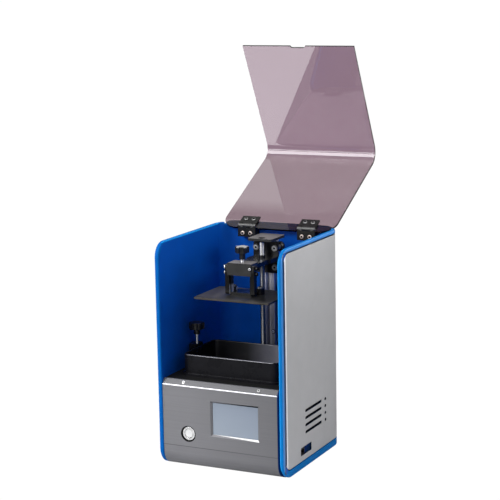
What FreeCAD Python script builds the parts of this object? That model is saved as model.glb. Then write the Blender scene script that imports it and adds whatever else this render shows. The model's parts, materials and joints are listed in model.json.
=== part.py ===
"""Desktop resin printer: a blue shell with a satin cover, a tinted lid, a lift with a build plate and a vat.

Frame: X to the right, Y to the back, Z up, origin on the floor below the middle of the body. Millimetres.
The lid stands open and the lift is near its top.
"""
import FreeCAD, Part
import Sketcher
import math
import os
import re
from FreeCAD import Placement, Rotation, Vector

# Driving sizes, each written once
SIZES = {
    # body
    "body_width": 206, "body_depth": 224, "body_height": 344, "wall_bottom": 3,
    "side_lip": 6.5, "back_lip": 4.5, "plan_radius": 34, "lip_round": 2, "inner_round": 2.3,
    "top_front_radius": 23, "low_front_radius": 28,
    # recess of the shell and the cover that lies in it
    "recess": 2.5, "front_lip": 8.6, "top_lip": 5.8, "bottom_lip": 10.9, "recess_radius": 16,
    "cover_gap": 1.5, "cover_sheet": 1.2, "cover_round": 1,
    # openings in the sides
    "vent_front": -33.3, "vent_back": 27.5, "vent_low": 56.3, "vent_pitch": 10.95, "vent_width": 4.4,
    "dot_front": 38, "dot_length": 6, "port_front": -50.4, "port_width": 39, "port_low": 23.8,
    "port_height": 12.2, "port_round": 1.5,
    "socket_width": 17, "socket_height": 9, "socket_depth": 19, "socket_wall": 0.8, "socket_back": 3,
    # base and feet
    "base_sheet": 2, "fit": 0.2, "foot_radius": 8, "foot_inset_x": 22,
    "front_foot_inset": 58, "rear_foot_inset": 26,
    # front panel
    "panel_inset": 2, "panel_sheet": 3, "panel_radius": 24, "panel_flange": 5, "panel_lean": 1.2,
    "crease_height": 37.5, "strip_rise": 7.5, "strip_run": 6, "strip_round": 3,
    "deck_top": 138, "deck_sheet": 2.5,
    "display_x": 23.2, "display_z": 84.8, "display_width": 74.2, "display_height": 49, "display_bevel": 2.6,
    "display_margin": 4, "glass": 1.2, "display_board_depth": 7,
    "button_x": -54.4, "button_z": 57.2, "button_bore": 9.5, "button_bevel": 2.6, "bezel_lip": 0.6,
    "bezel_length": 20, "cap_radius": 7, "cap_bevel": 1, "cap_gap": 0.3, "cap_length": 12, "cap_seat": 4,
    "nut_radius": 12, "nut_depth": 3.5,
    # light engine under the screen
    "optic_y": -25.5, "screen_x": 61, "screen_y": 36, "shade_wall": 2, "shade_foot": 20, "shade_flange": 5,
    "shade_bottom": 60, "led_board_size": 44, "led_board_sheet": 1.6,
    "lens_radius": 17, "lens_height": 13, "lens_edge": 3,
    "sink_size": 50, "sink_base": 6, "sink_height": 36, "fin_sheet": 2, "fin_pitch": 6,
    # electronics
    "board_gap": 3.5, "board_width": 57, "board_front": -62, "board_depth": 122, "board_sheet": 1.6,
    "post_radius": 3, "post_inset": 5,
    "jack_x": 60, "jack_z": 36, "jack_radius": 5.5, "jack_bore": 3, "jack_length": 14,
    "jack_back": 4, "jack_pin": 1,
    "fan_size": 40, "fan_corner": 3, "fan_depth": 10.5, "fan_bore": 19, "fan_y": -3, "fan_z": 72.8,
    "hub_radius": 10, "hub_roof": 1.5, "rotor_radius": 18, "rotor_depth": 7, "rotor_gap": 0.4,
    "blade_sheet": 1.4, "blade_lean": 3, "blade_inset": 0.5, "blade_root": 1,
    "strut_width": 3, "strut_depth": 1.5, "strut_root": 0.5,
    "fan_axle": 1.5, "fan_axle_height": 5, "running": 0.05,
    # vat
    "vat_x": 80, "vat_front": -78, "vat_back": 27, "vat_height": 32, "vat_wall": 3, "vat_radius": 12,
    "vat_floor": 3.5, "vat_step": 3, "rim_round": 1,
    "ear_reach": 92, "ear_half": 12, "ear_root": 1, "ear_height": 36.4, "ear_round": 4,
    "film_sheet": 0.3, "film_frame": 1.2, "frame_width": 3.5, "window_radius": 4,
    "vat_stud_x": 82.5, "vat_stud_y": -23, "vat_stud_radius": 2.5, "vat_knob_rise": 51, "vat_knob_neck": 7,
    "vat_knob_head": 11, "vat_knob_radius": 12.2, "stud_fit": 0.3, "knob_round": 2, "collar_rise": 1,
    # column, screw and motor
    "column": 20, "column_round": 1.5, "column_front": 62, "slot_mouth": 9.2, "slot_throat": 6.2,
    "slot_lip": 1.8, "slot_cavity": 11, "slot_floor": 5.7, "slot_depth": 6.1,
    "core_bore": 2.1, "column_drop": 15.5,
    "screw_y": 40.5, "screw_radius": 4, "screw_start": 4, "screw_rise": 2.1, "screw_gap": 0.3,
    "top_plate_x": 20.5, "top_plate_front": 32, "top_plate_back": 81.5, "top_plate_sheet": 4,
    "top_plate_radius": 3, "top_hole": 5.7, "bearing_radius": 8, "bearing_depth": 4, "bearing_seat": 2.5,
    "motor_size": 42, "motor_bottom": 50, "motor_height": 42, "motor_corner": 4, "motor_boss": 11,
    "boss_height": 2, "shaft_radius": 2.5, "shaft_length": 19, "coupler_radius": 9.5, "coupler_rise": 9,
    "coupler_length": 26, "coupler_gap": 1, "mount_sheet": 4,
    "switch_rise": 4, "switch_height": 20, "switch_depth": 10, "switch_width": 6.4,
    # lift
    "lift_plate_x": 21, "lift_plate_below": 20, "lift_plate_above": 29, "lift_plate_back": 57,
    "lift_plate_sheet": 3, "lift_plate_radius": 4, "wheel_radius": 7.6, "wheel_width": 8.4, "wheel_tip": 4.6,
    "wheel_reach": 5.7, "axle_above": 19.5, "axle_below": 10.5, "axle_radius": 2.5, "axle_head": 4.6,
    "axle_head_height": 2.8, "spacer_radius": 4.2, "wheel_gap": 0.25, "axle_tail": 5,
    "arm_x": 17, "arm_wide": 20, "arm_drop": 48, "arm_sheet": 6.5, "arm_step": 26, "arm_round": 3,
    "lead_nut_radius": 5, "lead_nut_flange": 11, "lead_nut_flange_sheet": 3.5, "lead_nut_rise": 4,
    "lead_nut_gap": 0.3,
    "bracket_x": 24.3, "bracket_front": -39.5, "bracket_depth": 23.5, "bracket_sheet": 4.5,
    "leg_length": 37.5, "skirt_length": 8, "bracket_round": 2, "cap_x": 20,
    "leg_sheet": 6.8, "leg_setback": 1.5, "leg_depth": 9.8,
    "leg_round": 3, "shoulder_rise": 7.5, "tab_below": 1, "tab_gap": 0.2, "tab_sheet": 2, "tab_depth": 7.8,
    "yoke_sheet": 4.5, "boss_x": 22.5, "boss_y": -14, "boss_radius": 6.2, "boss_rise": 9,
    "plate_x": 62.5, "plate_front": -69, "plate_back": 19, "plate_below": 42.2, "plate_sheet": 3.2,
    "plate_radius": 3, "plate_chamfer": 0.8,
    "level_head": 2.9, "level_head_height": 3, "level_radius": 1.5, "level_y": 7.3, "level_above": 3.3,
    "level_below": 5,
    "plate_stud_radius": 3, "plate_knob_rise": 4.5, "plate_knob_neck": 9, "plate_knob_head": 10.5,
    "plate_knob_radius": 10.8, "neck_radius": 4.6, "lobe_radius": 5, "lobe_reach": 2,
    # lid and hinges
    "lid_sheet": 3, "lid_gap": 0.3, "lid_open": 152.67, "lid_rear": 5.5, "lid_rear_radius": 26,
    "lid_front_inset": 0.4, "lid_lap": 2.1, "pull_half": 13, "pull_depth": 3,
    "pull_slope": 1.5, "hinge_setback": 17.5, "rest_gap": 0.4,
    "hinge_x": 51, "hinge_width": 30, "knuckle_radius": 3, "knuckle_side": 7.5, "knuckle_gap": 0.3,
    "pin_radius": 1.5, "leaf_length": 18, "leaf_sheet": 3, "lid_leaf_sheet": 2.5, "lid_leaf_reach": 21,
    "leaf_clear": 0.4, "block_drop": 6,
}

# Places worked out from the driving sizes
RIGHT = "body_width / 2"
FRONT = "-body_depth / 2"
BACK = "body_depth / 2"
INNER = "(body_width / 2 - side_lip)"
INNER_BACK = "(body_depth / 2 - back_lip)"
INNER_RADIUS = "plan_radius - side_lip"
PANEL_FACE = "(panel_inset - body_depth / 2)"
BASE_BOTTOM = "(wall_bottom + panel_sheet)"
BASE_TOP = "(wall_bottom + panel_sheet + base_sheet)"
STRIP_BACK = "(panel_inset - body_depth / 2 + strip_run)"
DECK_BOTTOM = "(deck_top - deck_sheet)"
AXIS_Y = "(body_depth / 2 - hinge_setback)"
AXIS_Z = "(body_height - lid_sheet)"
COLUMN_Y = "(column_front + column / 2)"
WHEEL_X = "(column / 2 + wheel_reach)"
LIFT_FRONT = "(lift_plate_back - lift_plate_sheet)"
VAT_RIM = "(deck_top + vat_height)"
EAR_TOP = "(deck_top + ear_height)"
VAT_KNOB_LOW = "(deck_top + vat_knob_rise)"
LID_LOW = "(deck_top - lid_lap)"
BEND_HEIGHT = "(deck_top - strip_rise)"
COLUMN_TOP = "(body_height - column_drop)"
SCREW_TOP = "(body_height - column_drop + screw_rise)"
LEAF_LOW = "(body_height - lid_sheet - leaf_length)"
BLOCK_TOP = "(body_height - lid_sheet - block_drop)"
MOTOR_TOP = "(motor_bottom + motor_height)"
SHAFT_TOP = "(motor_bottom + motor_height + boss_height + shaft_length)"
COUPLER_LOW = "(motor_bottom + motor_height + coupler_rise)"
COUPLER_HIGH = "(motor_bottom + motor_height + coupler_rise + coupler_length)"
SCREW_BOTTOM = "(motor_bottom + motor_height + boss_height + shaft_length + screw_start)"
ARM_LOW = "(body_height - arm_drop)"
LIFT_PLATE_LOW = "(body_height - arm_drop - lift_plate_below)"
LIFT_PLATE_HIGH = "(body_height - arm_drop + lift_plate_above)"
AXLE_HIGH = "(body_height - arm_drop + axle_above)"
AXLE_LOW = "(body_height - arm_drop - axle_below)"
BRACKET_LOW = "(body_height - arm_drop - leg_length)"
SKIRT_LOW = "(body_height - arm_drop - skirt_length)"
TAB_HIGH = "(body_height - arm_drop - tab_below)"
PLATE_LOW = "(body_height - arm_drop - plate_below)"
LEVEL_HIGH = "(body_height - arm_drop + level_above)"
LEVEL_LOW = "(body_height - arm_drop - level_below)"
SHOULDER_HIGH = "(body_height - arm_drop + shoulder_rise)"
BOARD_LEFT = "(body_width / 2 - side_lip - board_gap - board_width)"
ARM_TOP = f"({ARM_LOW} + arm_sheet)"
BRACKET_TOP = f"({ARM_LOW} + arm_sheet + bracket_sheet)"
BRACKET_BACK = "(bracket_front + bracket_depth)"
KNOB_Y = "(bracket_front + bracket_depth / 2)"
LEVEL_Y = "(bracket_front + level_y)"
PLATE_TOP = f"({PLATE_LOW} + plate_sheet)"
BEND_RADIUS = "(top_front_radius - lid_front_inset)"
BOARD_TOP = "(port_low + fit)"
BOARD_BOTTOM = "(port_low + fit - board_sheet)"
SINK_TOP = "(wall_bottom + panel_sheet + base_sheet + sink_height)"
LED_TOP = "(wall_bottom + panel_sheet + base_sheet + sink_height + led_board_sheet)"
BOSS_HIGH = f"({PLATE_TOP} + boss_rise)"
PLATE_KNOB_LOW = f"({BRACKET_TOP} + plate_knob_rise)"

FUNCTIONS = ("sin", "cos", "tan", "sqrt", "min", "max")
NEAR = 0.01

doc = FreeCAD.newDocument("resin_printer")
sheet = doc.addObject("Spreadsheet::Sheet", "Sizes")
for row, (alias, number) in enumerate(SIZES.items(), 1):
    sheet.set(f"A{row}", alias)
    sheet.set(f"B{row}", str(number))
    sheet.setAlias(f"B{row}", alias)
doc.recompute()
nodes = []


def tied(text):
    """An expression whose names are cells of the sheet."""
    def cell(name):
        return name[0] if name[0] in FUNCTIONS else "Sizes." + name[0]
    return re.sub(r"[a-z]\w*", cell, str(text))


def value(text):
    """What an expression comes to now."""
    return float(sheet.evalExpression(tied(text)))


def node(label, feature):
    """Names a finished sub-part."""
    feature.Label = label
    nodes.append(feature)
    return feature


# Sketches: each drawer puts one closed outline into a sketch and ties it to the sheet

def hold(sketch, rules):
    """Adds constraints, each (constraint, expression or None)."""
    first = sketch.ConstraintCount
    sketch.addConstraint([rule for rule, text in rules])
    for place, (rule, text) in enumerate(rules, first):
        if text is not None:
            sketch.setExpression(f"Constraints[{place}]", tied(text))


def at(piece, end, x, y):
    """Ties a point of a sketch to its place."""
    return [
        (Sketcher.Constraint("DistanceX", -1, 1, piece, end, value(x)), x),
        (Sketcher.Constraint("DistanceY", -1, 1, piece, end, value(y)), y),
    ]


def circle(x, y, radius):
    def draw(sketch):
        centre = Vector(value(x), value(y), 0)
        ring = sketch.addGeometry(Part.Circle(centre, Vector(0, 0, 1), value(radius)))
        hold(sketch, at(ring, 3, x, y) + [(Sketcher.Constraint("Radius", ring, value(radius)), radius)])
    return draw


def arc_about(centre, radius, start, end):
    """A counter-clockwise arc between two points of a circle."""
    first = math.atan2(start.y - centre.y, start.x - centre.x)
    last = math.atan2(end.y - centre.y, end.x - centre.x)
    if last <= first:
        last += 2 * math.pi
    return Part.ArcOfCircle(Part.Circle(centre, Vector(0, 0, 1), radius), first, last)


def outline(*corners):
    """A closed outline through corners (x, y) or, where rounded, (x, y, radius)."""
    def draw(sketch):
        points = [Vector(value(corner[0]), value(corner[1]), 0) for corner in corners]
        count = len(points)
        enter, leave, rounds = list(points), list(points), {}
        for index, corner in enumerate(corners):
            if len(corner) < 3:
                continue
            here, radius = points[index], value(corner[2])
            behind = (points[index - 1] - here).normalize()
            ahead = (points[(index + 1) % count] - here).normalize()
            half = behind.getAngle(ahead) / 2
            enter[index] = here + behind * (radius / math.tan(half))
            leave[index] = here + ahead * (radius / math.tan(half))
            centre = here + (behind + ahead).normalize() * (radius / math.sin(half))
            left = behind.cross(ahead).z < 0
            rounds[index] = (centre, radius, left)
        lines = [sketch.addGeometry(Part.LineSegment(leave[index], enter[(index + 1) % count]))
                 for index in range(count)]
        rules = []
        for index, corner in enumerate(corners):
            before, after = lines[index - 1], lines[index]
            if index not in rounds:
                rules.append((Sketcher.Constraint("Coincident", before, 2, after, 1), None))
                rules += at(after, 1, corner[0], corner[1])
                continue
            centre, radius, left = rounds[index]
            start, end = (enter[index], leave[index]) if left else (leave[index], enter[index])
            bend = sketch.addGeometry(arc_about(centre, radius, start, end))
            tip = sketch.addGeometry(Part.Point(points[index]), True)
            first, last = (1, 2) if left else (2, 1)
            rules += [
                (Sketcher.Constraint("Tangent", before, 2, bend, first), None),
                (Sketcher.Constraint("Tangent", bend, last, after, 1), None),
                (Sketcher.Constraint("Radius", bend, radius), corner[2]),
                (Sketcher.Constraint("PointOnObject", tip, 1, before), None),
                (Sketcher.Constraint("PointOnObject", tip, 1, after), None),
            ]
            rules += at(tip, 1, corner[0], corner[1])
        hold(sketch, rules)
    return draw


def rectangle(x_low, x_high, y_low, y_high, radius=None):
    corners = [(x_low, y_low), (x_high, y_low), (x_high, y_high), (x_low, y_high)]
    return outline(*[corner if radius is None else (*corner, radius) for corner in corners])


def slot(x_low, x_high, y, width):
    """A slot with round ends, lying along the sketch's x."""
    def draw(sketch):
        radius = value(width) / 2
        first = Vector(value(x_low) + radius, value(y), 0)
        last = Vector(value(x_high) - radius, value(y), 0)
        rise = Vector(0, radius, 0)
        low = sketch.addGeometry(Part.LineSegment(first - rise, last - rise))
        high = sketch.addGeometry(Part.LineSegment(last + rise, first + rise))
        right = sketch.addGeometry(arc_about(last, radius, last - rise, last + rise))
        left = sketch.addGeometry(arc_about(first, radius, first + rise, first - rise))
        rules = [
            (Sketcher.Constraint("Tangent", low, 2, right, 1), None),
            (Sketcher.Constraint("Tangent", right, 2, high, 1), None),
            (Sketcher.Constraint("Tangent", high, 2, left, 1), None),
            (Sketcher.Constraint("Tangent", left, 2, low, 1), None),
            (Sketcher.Constraint("Radius", right, radius), f"({width}) / 2"),
            (Sketcher.Constraint("Radius", left, radius), f"({width}) / 2"),
        ]
        rules += at(left, 3, f"({x_low}) + ({width}) / 2", y) + at(right, 3, f"({x_high}) - ({width}) / 2", y)
        hold(sketch, rules)
    return draw


# Bodies and their features. A plane's name gives the sketch's axes: XY looks down, XZ from the front,
# YZ from a side

def new_body(name):
    return doc.addObject("PartDesign::Body", name)


def sketch_on(body, plane, offset, drawers):
    sketch = body.newObject("Sketcher::SketchObject", body.Name + "_sketch")
    support = [part for part in body.Origin.OriginFeatures if part.Role == plane + "_Plane"]
    sketch.AttachmentSupport = (support[0], [""])
    sketch.MapMode = "FlatFace"
    sketch.setExpression("AttachmentOffset.Base.z", tied(offset))
    for draw in drawers:
        draw(sketch)
    sketch.Visibility = False
    return sketch


def pad(body, plane, start, end, *drawers):
    """Adds material from start to end along the axis square to the plane."""
    offset = f"-({end})" if plane == "XZ" else start
    profile = sketch_on(body, plane, offset, drawers)
    feature = body.newObject("PartDesign::Pad", body.Name + "_pad")
    feature.Profile = profile
    feature.setExpression("Length", tied(f"({end}) - ({start})"))
    doc.recompute()
    return body


def pocket(body, plane, start, end, *drawers):
    """Removes material from start to end along the axis square to the plane."""
    before = body.Shape.Volume
    offset = f"-({start})" if plane == "XZ" else end
    profile = sketch_on(body, plane, offset, drawers)
    feature = body.newObject("PartDesign::Pocket", body.Name + "_pocket")
    feature.Profile = profile
    feature.setExpression("Length", tied(f"({end}) - ({start})"))
    doc.recompute()
    if body.Shape.Volume > before - NEAR:
        raise ValueError(f"{body.Name}: a pocket cut nothing")
    return feature


def revolve(body, *drawers):
    """Turns a profile (radius, height) about the body's own Z."""
    profile = sketch_on(body, "XZ", "0", drawers)
    feature = body.newObject("PartDesign::Revolution", body.Name + "_turn")
    feature.Profile = profile
    feature.ReferenceAxis = (profile, ["V_Axis"])
    feature.Angle = 360
    doc.recompute()
    return body


def polar(body, feature, count):
    """Repeats a feature about the body's own Z."""
    pattern = body.newObject("PartDesign::PolarPattern", body.Name + "_pattern")
    pattern.Originals = [feature]
    pattern.Axis = ([part for part in body.Origin.OriginFeatures if part.Role == "Z_Axis"][0], [""])
    pattern.Angle = 360
    pattern.Occurrences = count
    body.Tip = pattern
    doc.recompute()
    return body


def lies(edge, **where):
    """Whether an edge's ends all lie at the given coordinates."""
    return all(abs(getattr(vertex.Point, axis) - place) < NEAR
               for vertex in edge.Vertexes for axis, place in where.items())


def dress(body, kind, radius, chosen):
    """A fillet or chamfer on the edges that a test chooses."""
    base = body.Tip
    names = [f"Edge{index}" for index, edge in enumerate(base.Shape.Edges, 1) if chosen(edge)]
    feature = body.newObject("PartDesign::" + kind, body.Name + "_" + kind.lower())
    feature.Base = (base, names)
    feature.setExpression("Radius" if kind == "Fillet" else "Size", tied(radius))
    doc.recompute()
    return body


def place(feature, x="0", y="0", z="0", turn=None):
    """Puts a sub-part in its place, turned if need be."""
    if turn is not None:
        feature.Placement = Placement(Vector(0, 0, 0), turn)
    for axis, text in zip("xyz", (x, y, z)):
        feature.setExpression(f"Placement.Base.{axis}", tied(text))
    return feature


# Solids made from primitives

TURNS = {"x": Rotation(Vector(0, 1, 0), 90), "y": Rotation(Vector(1, 0, 0), -90), "z": Rotation()}


def box(name, x, y, z):
    """A block between pairs of places."""
    solid = doc.addObject("Part::Box", name)
    for size, axis, (low, high) in zip(("Length", "Width", "Height"), "xyz", (x, y, z)):
        solid.setExpression(size, tied(f"({high}) - ({low})"))
        solid.setExpression(f"Placement.Base.{axis}", tied(low))
    return solid


def rod(name, axis, radius, start, end, *across):
    """A round rod along an axis from start to end, at the other two coordinates in their order."""
    solid = doc.addObject("Part::Cylinder", name)
    solid.setExpression("Radius", tied(radius))
    solid.setExpression("Height", tied(f"({end}) - ({start})"))
    spot = list(across)
    spot.insert("xyz".index(axis), start)
    return place(solid, *spot, turn=TURNS[axis])


def fuse(name, *pieces):
    joined = doc.addObject("Part::MultiFuse", name)
    joined.Shapes = list(pieces)
    return joined


def cut(name, base, *tools):
    result = doc.addObject("Part::Cut", name)
    result.Base = base
    result.Tool = tools[0] if len(tools) == 1 else fuse(name + "_tools", *tools)
    return result


def common(name, *pieces):
    shared = doc.addObject("Part::MultiCommon", name)
    shared.Shapes = list(pieces)
    return shared


def mirrored(name, source):
    """The same piece on the other side of the middle plane."""
    twin = doc.addObject("Part::Mirroring", name)
    twin.Source = source
    twin.Normal = Vector(1, 0, 0)
    return twin


def group(name, *pieces):
    """Separate solids that share one node."""
    gathered = doc.addObject("Part::Compound", name)
    gathered.Links = list(pieces)
    return gathered


def bolt(name, axis, head, head_height, shank, start, end, *across):
    """A bolt whose head's outer face is at start. Its shank runs to end."""
    way = "+" if value(end) > value(start) else "-"
    seat = f"({start}) {way} ({head_height})"
    low, high = (start, seat) if way == "+" else (seat, start)
    cap = rod(name + "_head", axis, head, low, high, *across)
    low, high = (seat, end) if way == "+" else (end, seat)
    return fuse(name, cap, rod(name + "_shank", axis, shank, low, high, *across))


# Housing

def plan(half, back, radius, front=FRONT):
    """The plan of a body with a straight front and round rear corners."""
    return outline((f"-({half})", front), (half, front), (half, back, radius), (f"-({half})", back, radius))


def prism(name, inset):
    """The whole body's plan, drawn in by an inset, as a tall solid."""
    drawn = plan(f"{RIGHT} - ({inset})", f"{BACK} - ({inset})", f"plan_radius - ({inset})")
    return pad(new_body(name), "XY", "0", "body_height", drawn)


def window(name, inset):
    """The side view of the recess, drawn in by an inset, through the whole width."""
    front = f"{FRONT} + front_lip + {inset}"
    low, high = f"wall_bottom + bottom_lip + {inset}", f"body_height - top_lip - {inset}"
    rear = f"{BACK} + body_depth"
    radius = f"recess_radius - ({inset})"
    drawn = outline((front, low, radius), (rear, low), (rear, high), (front, high, radius))
    return pad(new_body(name), "YZ", "-body_width", "body_width", drawn)


def vent_slots():
    """The side view of the vents: rows of one long and one short slot."""
    drawn = []
    for rank in range(4):
        height = f"vent_low + {rank} * vent_pitch"
        drawn.append(slot("vent_front", "vent_back", height, "vent_width"))
        drawn.append(slot("dot_front", "dot_front + dot_length", height, "vent_width"))
    return drawn


def port_window(width, radius=None):
    """The side view of the port's opening."""
    return rectangle("port_front", f"port_front + {width}", "port_low", "port_low + port_height", radius)


def side_openings(name, port):
    """Cutters for the right side's vents and port and for the inlet at the back."""
    through = (f"{RIGHT} - 2 * side_lip", f"{RIGHT} + side_lip")
    vents = pad(new_body(name + "_vents"), "YZ", *through, *vent_slots())
    ports = pad(new_body(name + "_port"), "YZ", *through, port)
    inlet = rod(name + "_inlet", "y", "jack_radius + fit", f"{BACK} - 3 * back_lip", f"{BACK} + back_lip",
                "jack_x", "jack_z")
    return [vents, ports, inlet]


def on_outline(inset):
    """Tests for the edges that run round a wall's rim, at an inset from the outside of the side walls."""
    half, radius = value(RIGHT) - inset, value("plan_radius") - inset
    rear = value(BACK) if inset == 0 else value(INNER_BACK)
    front = value(FRONT)

    def on_plan(point):
        x, y = abs(point.x), point.y
        if y <= rear - radius:
            return abs(x - half) < NEAR
        if x <= half - radius:
            return abs(y - rear) < NEAR
        return abs(math.hypot(x - half + radius, y - rear + radius) - radius) < NEAR

    def test(edge):
        points = edge.discretize(5)
        upright = abs(points[0].x - points[-1].x) + abs(points[0].y - points[-1].y) < NEAR
        return all(on_plan(point) for point in points) and not (upright and points[0].y > front + NEAR)
    return test


def make_shell():
    """Left, back and right walls in one, with rolled rims and an outside recess for the cover."""
    walls = new_body("shell_walls")
    half, inner = RIGHT, INNER
    drawn = outline((f"-{half}", FRONT), (f"-{inner}", FRONT), (f"-{inner}", INNER_BACK, INNER_RADIUS),
                    (inner, INNER_BACK, INNER_RADIUS), (inner, FRONT), (half, FRONT),
                    (half, BACK, "plan_radius"), (f"-{half}", BACK, "plan_radius"))
    pad(walls, "XY", "wall_bottom", "body_height", drawn)
    front, low, high = value(FRONT), value("wall_bottom"), value("body_height")
    dress(walls, "Fillet", "top_front_radius", lambda edge: lies(edge, y=front, z=high))
    dress(walls, "Fillet", "low_front_radius", lambda edge: lies(edge, y=front, z=low))
    dress(walls, "Fillet", "lip_round", on_outline(0))
    dress(walls, "Fillet", "min(inner_round; back_lip - lip_round - fit)", on_outline(value("side_lip")))
    band = cut("recess_band", window("recess_window", "0"), prism("recess_core", "recess"))
    # the open lid rests on a slope cut into the rear corners of the rim
    run = "(lid_sheet + rest_gap) * sin(180 - lid_open)"
    drop = "(lid_sheet + rest_gap) * cos(180 - lid_open)"
    reach = "2 * hinge_setback"
    foot_y, foot_z = f"{AXIS_Y} + {run}", f"{AXIS_Z} - {drop}"
    rest = pad(new_body("lid_rest"), "YZ", f"-{INNER} - fit", f"{INNER} + fit", outline(
        (foot_y, foot_z), (f"{foot_y} + {reach}", f"{foot_z} + {reach} * tan(180 - lid_open)"),
        (f"{foot_y} + {reach}", "body_height + body_depth"), (foot_y, "body_height + body_depth")))
    port = port_window("socket_width + 2 * fit")
    node("inner_shell", cut("inner_shell", walls, band, rest, *side_openings("shell", port)))


def make_cover():
    """A satin sheet with folded edges, wrapped round the sides and the back."""
    sheet_out = common("cover_outside", window("cover_window", "cover_gap"), prism("cover_plan", "0"))
    space = common("cover_space", window("cover_inner_window", "cover_gap + cover_sheet"),
                   prism("cover_inner_plan", "cover_sheet"))
    port = port_window("port_width", "port_round")
    tray = cut("cover_tray", sheet_out, prism("cover_core", "recess"), space, *side_openings("cover", port))
    doc.recompute()
    outer = on_outline(0)
    edges = [index for index, edge in enumerate(tray.Shape.Edges, 1) if outer(edge) and edge.Length > 30
             or outer(edge) and edge.BoundBox.YMin < value(f"{FRONT} + front_lip + recess_radius") - NEAR
             and edge.BoundBox.XMax - edge.BoundBox.XMin < NEAR]
    rounded = doc.addObject("Part::Fillet", "outer_cover")
    rounded.Base = tray
    rounded.Edges = [(index, value("cover_round"), value("cover_round")) for index in edges]
    node("outer_cover", rounded)


def make_front_panel():
    """A bent front: an inward curve at its foot, an upright face and a sloping strip at its head."""
    body = new_body("front_panel")
    face, foot, sheet_in = PANEL_FACE, "wall_bottom", f"{PANEL_FACE} + panel_sheet"
    tail = f"{PANEL_FACE} + panel_lean + panel_radius + panel_flange"
    profile = outline((tail, foot), (tail, BASE_BOTTOM),
                      (f"{sheet_in} + panel_lean", BASE_BOTTOM, "panel_radius - panel_sheet"),
                      (sheet_in, "crease_height"), (sheet_in, BEND_HEIGHT),
                      (f"{STRIP_BACK} + panel_sheet", "deck_top"), (STRIP_BACK, "deck_top"),
                      (face, BEND_HEIGHT, "strip_round"), (face, "crease_height"),
                      (f"{face} + panel_lean", foot, "panel_radius"))
    pad(body, "YZ", f"-{INNER} + fit", f"{INNER} - fit", profile)
    left, right = "display_x - display_width / 2", "display_x + display_width / 2"
    low, high = "display_z - display_height / 2", "display_z + display_height / 2"
    through = (f"{face} - panel_sheet", f"{face} + 2 * panel_sheet")
    pocket(body, "XZ", *through, rectangle(left, right, low, high))
    spot = value(face)
    sides = [value(left), value(right)]
    dress(body, "Chamfer", "display_bevel", lambda edge: lies(edge, y=spot) and all(
        sides[0] - NEAR < vertex.Point.x < sides[1] + NEAR for vertex in edge.Vertexes))
    pocket(body, "XZ", *through, circle("button_x", "button_z", "button_bore + fit"))
    middle = Vector(value("button_x"), spot, value("button_z"))
    dress(body, "Chamfer", "button_bevel", lambda edge: isinstance(edge.Curve, Part.Circle)
          and edge.Curve.Center.distanceToPoint(middle) < NEAR)
    node("front_panel", body)


def make_base():
    """Bottom plate, feet and deck."""
    base = pad(new_body("base_plate"), "XY", BASE_BOTTOM, BASE_TOP, plan(
        f"{INNER} - fit", f"{INNER_BACK} - fit", f"{INNER_RADIUS} - fit",
        f"{PANEL_FACE} + panel_lean + panel_radius"))
    node("base_plate", base)
    feet = []
    for side in ("-", "+"):
        for y in (f"{FRONT} + front_foot_inset", f"{BACK} - rear_foot_inset"):
            x = f"{side}({RIGHT} - foot_inset_x)"
            feet.append(rod("foot", "z", "foot_radius", "0", BASE_BOTTOM, x, y))
    node("rubber_feet", group("rubber_feet", *feet))
    deck = pad(new_body("deck_plate"), "XY", DECK_BOTTOM, "deck_top", plan(
        f"{INNER} - fit", f"{INNER_BACK} - fit", f"{INNER_RADIUS} - fit",
        f"{STRIP_BACK} + panel_sheet + fit"))
    through = (f"{DECK_BOTTOM} - deck_sheet", "deck_top + deck_sheet")
    half = "column / 2 + fit"
    pocket(deck, "XY", *through,
           rectangle("-screen_x - fit", "screen_x + fit",
                     "optic_y - screen_y - fit", "optic_y + screen_y + fit"),
           rectangle(f"-({half})", half, "column_front - fit", "column_front + column + fit"),
           circle("0", "screw_y", "screw_radius + 2 * screw_gap"))
    for side in ("-", ""):
        pocket(deck, "XY", *through, circle(f"{side}vat_stud_x", "vat_stud_y", "vat_stud_radius + stud_fit"))
    node("deck_plate", deck)


# Controls on the front

def make_display():
    behind = f"{PANEL_FACE} + panel_sheet"
    half_width, half_height = "(display_width / 2 + display_margin)", "(display_height / 2 + display_margin)"
    left, right = f"display_x - {half_width}", f"display_x + {half_width}"
    low, high = f"display_z - {half_height}", f"display_z + {half_height}"
    node("display_glass", box("display_glass", (left, right), (behind, f"{behind} + glass"), (low, high)))
    back = f"{behind} + glass"
    rear = f"{back} + display_board_depth"
    node("display_board", box("display_board", (left, right), (back, rear), (low, high)))


def make_button():
    """A metal push button: a countersunk bezel through the panel, a nut behind it and a cap that slides."""
    front_turn = Rotation(Vector(1, 0, 0), -90)
    bore = "cap_radius + cap_gap"
    head = "button_bevel - bezel_lip"
    bezel = revolve(new_body("button_bezel"), outline(
        (bore, head), ("button_bore + bezel_lip", head), ("button_bore", "button_bevel"),
        ("button_bore", "bezel_length"), ("0", "bezel_length"), ("0", "cap_length + cap_seat"),
        (bore, "cap_length + cap_seat")))
    node("button_bezel", place(bezel, "button_x", PANEL_FACE, "button_z", front_turn))
    cap = revolve(new_body("button_cap"), outline(
        ("0", head), ("cap_radius - cap_bevel", head), ("cap_radius", f"{head} + cap_bevel"),
        ("cap_radius", "cap_length"), ("0", "cap_length")))
    node("button_cap", place(cap, "button_x", PANEL_FACE, "button_z", front_turn))
    behind = f"{PANEL_FACE} + panel_sheet"
    nut = pad(new_body("button_nut"), "XZ", behind, f"{behind} + nut_depth",
              hexagon("button_x", "button_z", "nut_radius"),
              circle("button_x", "button_z", "button_bore + running"))
    node("button_nut", nut)


def hexagon(x, y, radius):
    corners = []
    for turn in range(0, 360, 60):
        corners.append((f"{x} + {radius} * cos({turn})", f"{y} + {radius} * sin({turn})"))
    return outline(*corners)


# Light engine and electronics inside the lower housing

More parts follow.
